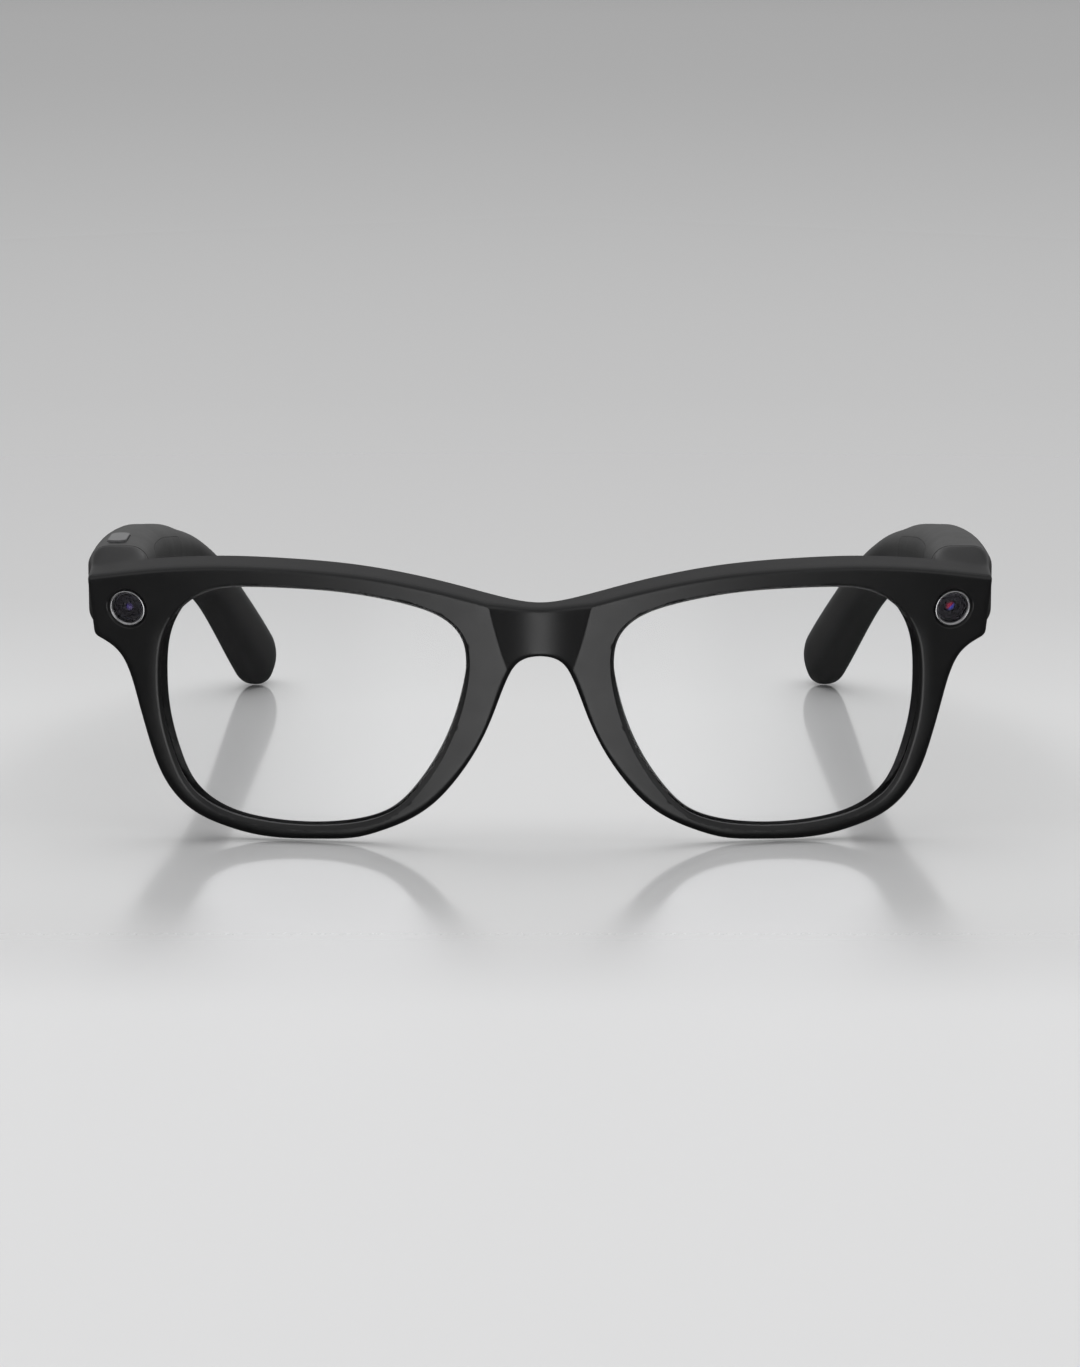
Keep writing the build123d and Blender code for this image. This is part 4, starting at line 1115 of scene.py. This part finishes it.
def glint_painted_element(name, centre, upper, lower, rim, size):
    """Coating colour painted by position as glint colours: one tint above, another below, dark towards the rim."""
    m, nt, p = new_mat(name)
    tc = nt.nodes.new("ShaderNodeTexCoord")
    sub = nt.nodes.new("ShaderNodeVectorMath")
    sub.operation = "SUBTRACT"
    nt.links.new(tc.outputs["Object"], sub.inputs[0])
    sub.inputs[1].default_value = centre
    ln = nt.nodes.new("ShaderNodeVectorMath")
    ln.operation = "LENGTH"
    nt.links.new(sub.outputs["Vector"], ln.inputs[0])
    sp = nt.nodes.new("ShaderNodeSeparateXYZ")
    nt.links.new(sub.outputs["Vector"], sp.inputs[0])
    df = nt.nodes.new("ShaderNodeMath")
    df.operation = "SUBTRACT"
    nt.links.new(sp.outputs["Z"], df.inputs[0])
    nt.links.new(sp.outputs["X"], df.inputs[1])
    # painted glint colours: the tint splits by position across the element, upper tint above and lower tint below
    tint = ramp(nt, remap(nt, df.outputs[0], 0.0, 1.0, -size * 0.5, size * 0.5), [(0.35, lower), (0.65, upper)])
    # darker towards the rim, so the painted glints stay near the middle
    fade = remap(nt, ln.outputs["Value"], 0.0, 1.0, size * 0.35, size)
    mx = nt.nodes.new("ShaderNodeMix")
    mx.data_type = "RGBA"
    nt.links.new(fade, mx.inputs["Factor"])
    nt.links.new(tint, mx.inputs[6])
    mx.inputs[7].default_value = (*rim, 1)
    nt.links.new(mx.outputs[2], p.inputs["Base Color"])
    p.inputs["Metallic"].default_value = 1.0
    nt.links.new(remap(nt, noise(nt, tc.outputs["Object"], 900, 2), 0.08, 0.16), p.inputs["Roughness"])
    return m


MAT["circuit_board"] = board()
MAT["flex_film"] = flex()
MAT["lens_clear"] = clear_lens()
MAT["module_glass"] = dark_glass()
# painted glint colours: red above and blue below on the camera's front element, violet on the light's diffuser
ELEMENT = glint_painted_element("lens_painted_glints", tuple(module_point(1, 0, 0, -1.35) * MM), (0.95, 0.06, 0.12), (0.16, 0.2, 0.95), (0.006, 0.006, 0.012), 0.00085)
LAMP = glint_painted_element("lamp_painted_glints", tuple(module_point(-1, 0, 0, -1.5) * MM), (0.16, 0.12, 0.4), (0.34, 0.28, 0.6), (0.003, 0.003, 0.006), 0.00075)

slot_of = {sp["node"]: sp["material_slot"] for sp in frame["record"]["subparts"]}
for n, ob in frame["nodes"].items():
    ob.data.materials.clear()
    ob.data.materials.append(MAT[slot_of[n]])
for ob in pieces.values():
    ob.data.materials.clear()
    ob.data.materials.append(MAT[ob["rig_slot"]])
element.data.materials.clear()
element.data.materials.append(ELEMENT)
guide.data.materials.clear()
guide.data.materials.append(LAMP)


# ---------------------------------------------------------------- camera
ELEV = math.radians(11.158)
cam_d = bpy.data.cameras.new("cam")
cam = bpy.data.objects.new("cam", cam_d)
scene.collection.objects.link(cam)
target = Vector((0, (10 + FRONT_Y) * MM, 26.19 * MM))
fwd = Vector((0, math.cos(ELEV), -math.sin(ELEV)))
cam.location = target - fwd * 0.7
cam.rotation_euler = (math.pi / 2 - ELEV, 0, 0)
cam_d.sensor_fit = "AUTO"
cam_d.sensor_width = 36.0
cam_d.lens = 4365.2 * 36.0 / 1367.0
cam_d.clip_start, cam_d.clip_end = 0.01, 100
cam_d.dof.use_dof = False
scene.camera = cam

# ---------------------------------------------------------------- floor and backdrop
def floor_mat():
    m, nt, p = new_mat("pale_floor")
    tc = nt.nodes.new("ShaderNodeTexCoord")
    sep = nt.nodes.new("ShaderNodeSeparateXYZ")
    nt.links.new(tc.outputs["Object"], sep.inputs[0])
    far = remap(nt, sep.outputs["Y"], 0.0, 1.0, -0.3, 3.0)
    # painted light and shade: the floor's colour gets lighter and darker in bands with distance, standing in for the
    # lamps' falloff, and is lifted under the glasses against their shadow
    painted_falloff_tones = [(0.0, 0.635), (0.05, 0.64), (0.072, 0.73), (0.106, 0.73), (0.14, 0.61), (0.24, 0.54), (0.45, 0.56), (0.72, 0.64), (1.0, 0.8)]
    nt.links.new(ramp(nt, far, [(t, (g, g, g * 1.006)) for t, g in painted_falloff_tones]), p.inputs["Base Color"])
    v = tex_coord(nt, (1, 1, 1))
    # the mirror image of the object fades out over the floor in front of it
    fade = remap(nt, sep.outputs["Y"], 1.0, 0.0, -0.163, -0.1)
    grain = remap(nt, noise(nt, v, 800, 2), 0.1, 0.125)
    rough = nt.nodes.new("ShaderNodeMath")
    rough.operation = "ADD"
    nt.links.new(grain, rough.inputs[0])
    nt.links.new(remap(nt, fade, 0.0, 0.45), rough.inputs[1])
    nt.links.new(rough.outputs[0], p.inputs["Roughness"])
    p.inputs["Coat Weight"].default_value = 0.72
    nt.links.new(remap(nt, fade, 0.08, 0.55), p.inputs["Coat Roughness"])
    return m


def disc(name, radius, z, mat, rise=0.0):
    B = Build()
    ang = np.linspace(0, 2 * np.pi, 96, endpoint=False)
    prof = [(r, z) for r in (0.2, 0.6, 1.2, 2.0, 3.0, radius)]
    if rise:
        prof = [(radius, z)] + [(radius + rise * math.sin(a), z + rise * (1 - math.cos(a))) for a in np.radians([15, 30, 45, 60, 75, 90])] + [(radius + rise, z + 6.0)]
    prev = None
    for r, h in prof:
        cur = B.add(np.stack([r * np.cos(ang), r * np.sin(ang), np.full(96, h)], -1) * 1000)
        if prev is not None:
            B.strip(prev, cur)
        prev = cur
        if len(B.v) == 1 and not rise:
            B.f.append(tuple(int(i) for i in cur))
    ob = B.object(name, weld=0.01, angle=60)
    ob.data.materials.append(mat)
    return ob


floor = disc("floor", 4.5, 0.0, floor_mat())
bm = bmesh.new()
bm.from_mesh(floor.data)
for f_ in bm.faces:
    if f_.normal.z < 0:
        f_.normal_flip()
bm.to_mesh(floor.data)
bm.free()
floor.visible_glossy = False
bd_m, bd_nt, bd_p = new_mat("backdrop")
em = bd_nt.nodes.new("ShaderNodeEmission")
em.inputs["Color"].default_value = (0.56, 0.56, 0.57, 1)
em.inputs["Strength"].default_value = 1.0
bd_nt.links.new(em.outputs[0], bd_nt.nodes["Material Output"].inputs["Surface"])
back = disc("backdrop", 4.5, 0.0, bd_m, rise=1.5)
back.visible_glossy = False
back.visible_diffuse = False
back.visible_shadow = False


# ---------------------------------------------------------------- light
def area(name, loc, look, size, power, glossy=False, color=(1, 1, 1)):
    d = bpy.data.lights.new(name, "AREA")
    d.shape, d.size, d.size_y = "RECTANGLE", size[0], size[1]
    d.energy, d.color = power, color
    ob = bpy.data.objects.new(name, d)
    scene.collection.objects.link(ob)
    ob.location = loc
    ob.rotation_euler = (Vector(look) - Vector(loc)).to_track_quat("-Z", "Y").to_euler()
    ob.visible_glossy = glossy
    ob.visible_transmission = False
    return ob


area("overhead", (0, 0.2, 1.6), (0, 0, 0), (2.4, 2.4), 32)
area("rear_fill", (0, 2.9, 1.8), (0, 2.7, 0), (3.2, 2.0), 22)

w = bpy.data.worlds.new("studio")
scene.world = w
w.use_nodes = True
nt = w.node_tree
nt.nodes.clear()
out = nt.nodes.new("ShaderNodeOutputWorld")
bg = nt.nodes.new("ShaderNodeBackground")
nt.links.new(bg.outputs[0], out.inputs[0])
tc = nt.nodes.new("ShaderNodeTexCoord")
sep = nt.nodes.new("ShaderNodeSeparateXYZ")
nt.links.new(tc.outputs["Generated"], sep.inputs[0])


def wmath(op, a, b=None, c=None):
    n = nt.nodes.new("ShaderNodeMath")
    n.operation = op
    for k, x in enumerate((a, b, c)):
        if x is None:
            continue
        if isinstance(x, (int, float)):
            n.inputs[k].default_value = x
        else:
            nt.links.new(x, n.inputs[k])
    return n.outputs[0]


def wstep(x, a, b):
    n = nt.nodes.new("ShaderNodeMapRange")
    n.interpolation_type = "SMOOTHSTEP"
    n.inputs["From Min"].default_value, n.inputs["From Max"].default_value = a, b
    nt.links.new(x, n.inputs["Value"])
    return n.outputs["Result"]


X_, Y_, Z_ = sep.outputs["X"], sep.outputs["Y"], sep.outputs["Z"]
# softbox low in front of the glasses, between the floor and the camera
fx = wstep(wmath("ABSOLUTE", X_), 0.28, 0.06)
fz = wmath("MULTIPLY", wstep(Z_, -0.85, -0.62), wstep(Z_, 0.0, -0.2))
fy = wstep(Y_, -0.2, -0.5)
key = wmath("MULTIPLY", wmath("MULTIPLY", fx, fz), fy)
# strip low behind, which the floor mirrors
strip = wmath("MULTIPLY", wmath("MULTIPLY", wstep(Z_, 0.0, 0.12), wstep(Z_, 0.42, 0.26)), wstep(Y_, 0.2, 0.6))
# side bands at eye level in front, for the thin line on the brow's edge
band = wmath("MULTIPLY", wmath("MULTIPLY", wstep(Z_, -0.2, 0.0), wstep(Z_, 0.55, 0.35)),
             wmath("MULTIPLY", wstep(Y_, 0.1, -0.2), wmath("MULTIPLY_ADD", wstep(wmath("ABSOLUTE", X_), 0.1, 0.5), 0.6, 0.4)))
# ceiling
top = wstep(Z_, 0.5, 0.88)
sky = wstep(Z_, -0.35, 0.1)
total = wmath("MULTIPLY_ADD", key, 3.3, wmath("MULTIPLY_ADD", strip, 0.22, wmath("MULTIPLY_ADD", band, 0.5,
        wmath("MULTIPLY_ADD", top, 0.36, wmath("MULTIPLY_ADD", sky, 0.22, 0.02)))))
nt.links.new(total, bg.inputs["Strength"])
bg.inputs["Color"].default_value = (1, 1, 1, 1)

scene.view_settings.view_transform = "Standard"
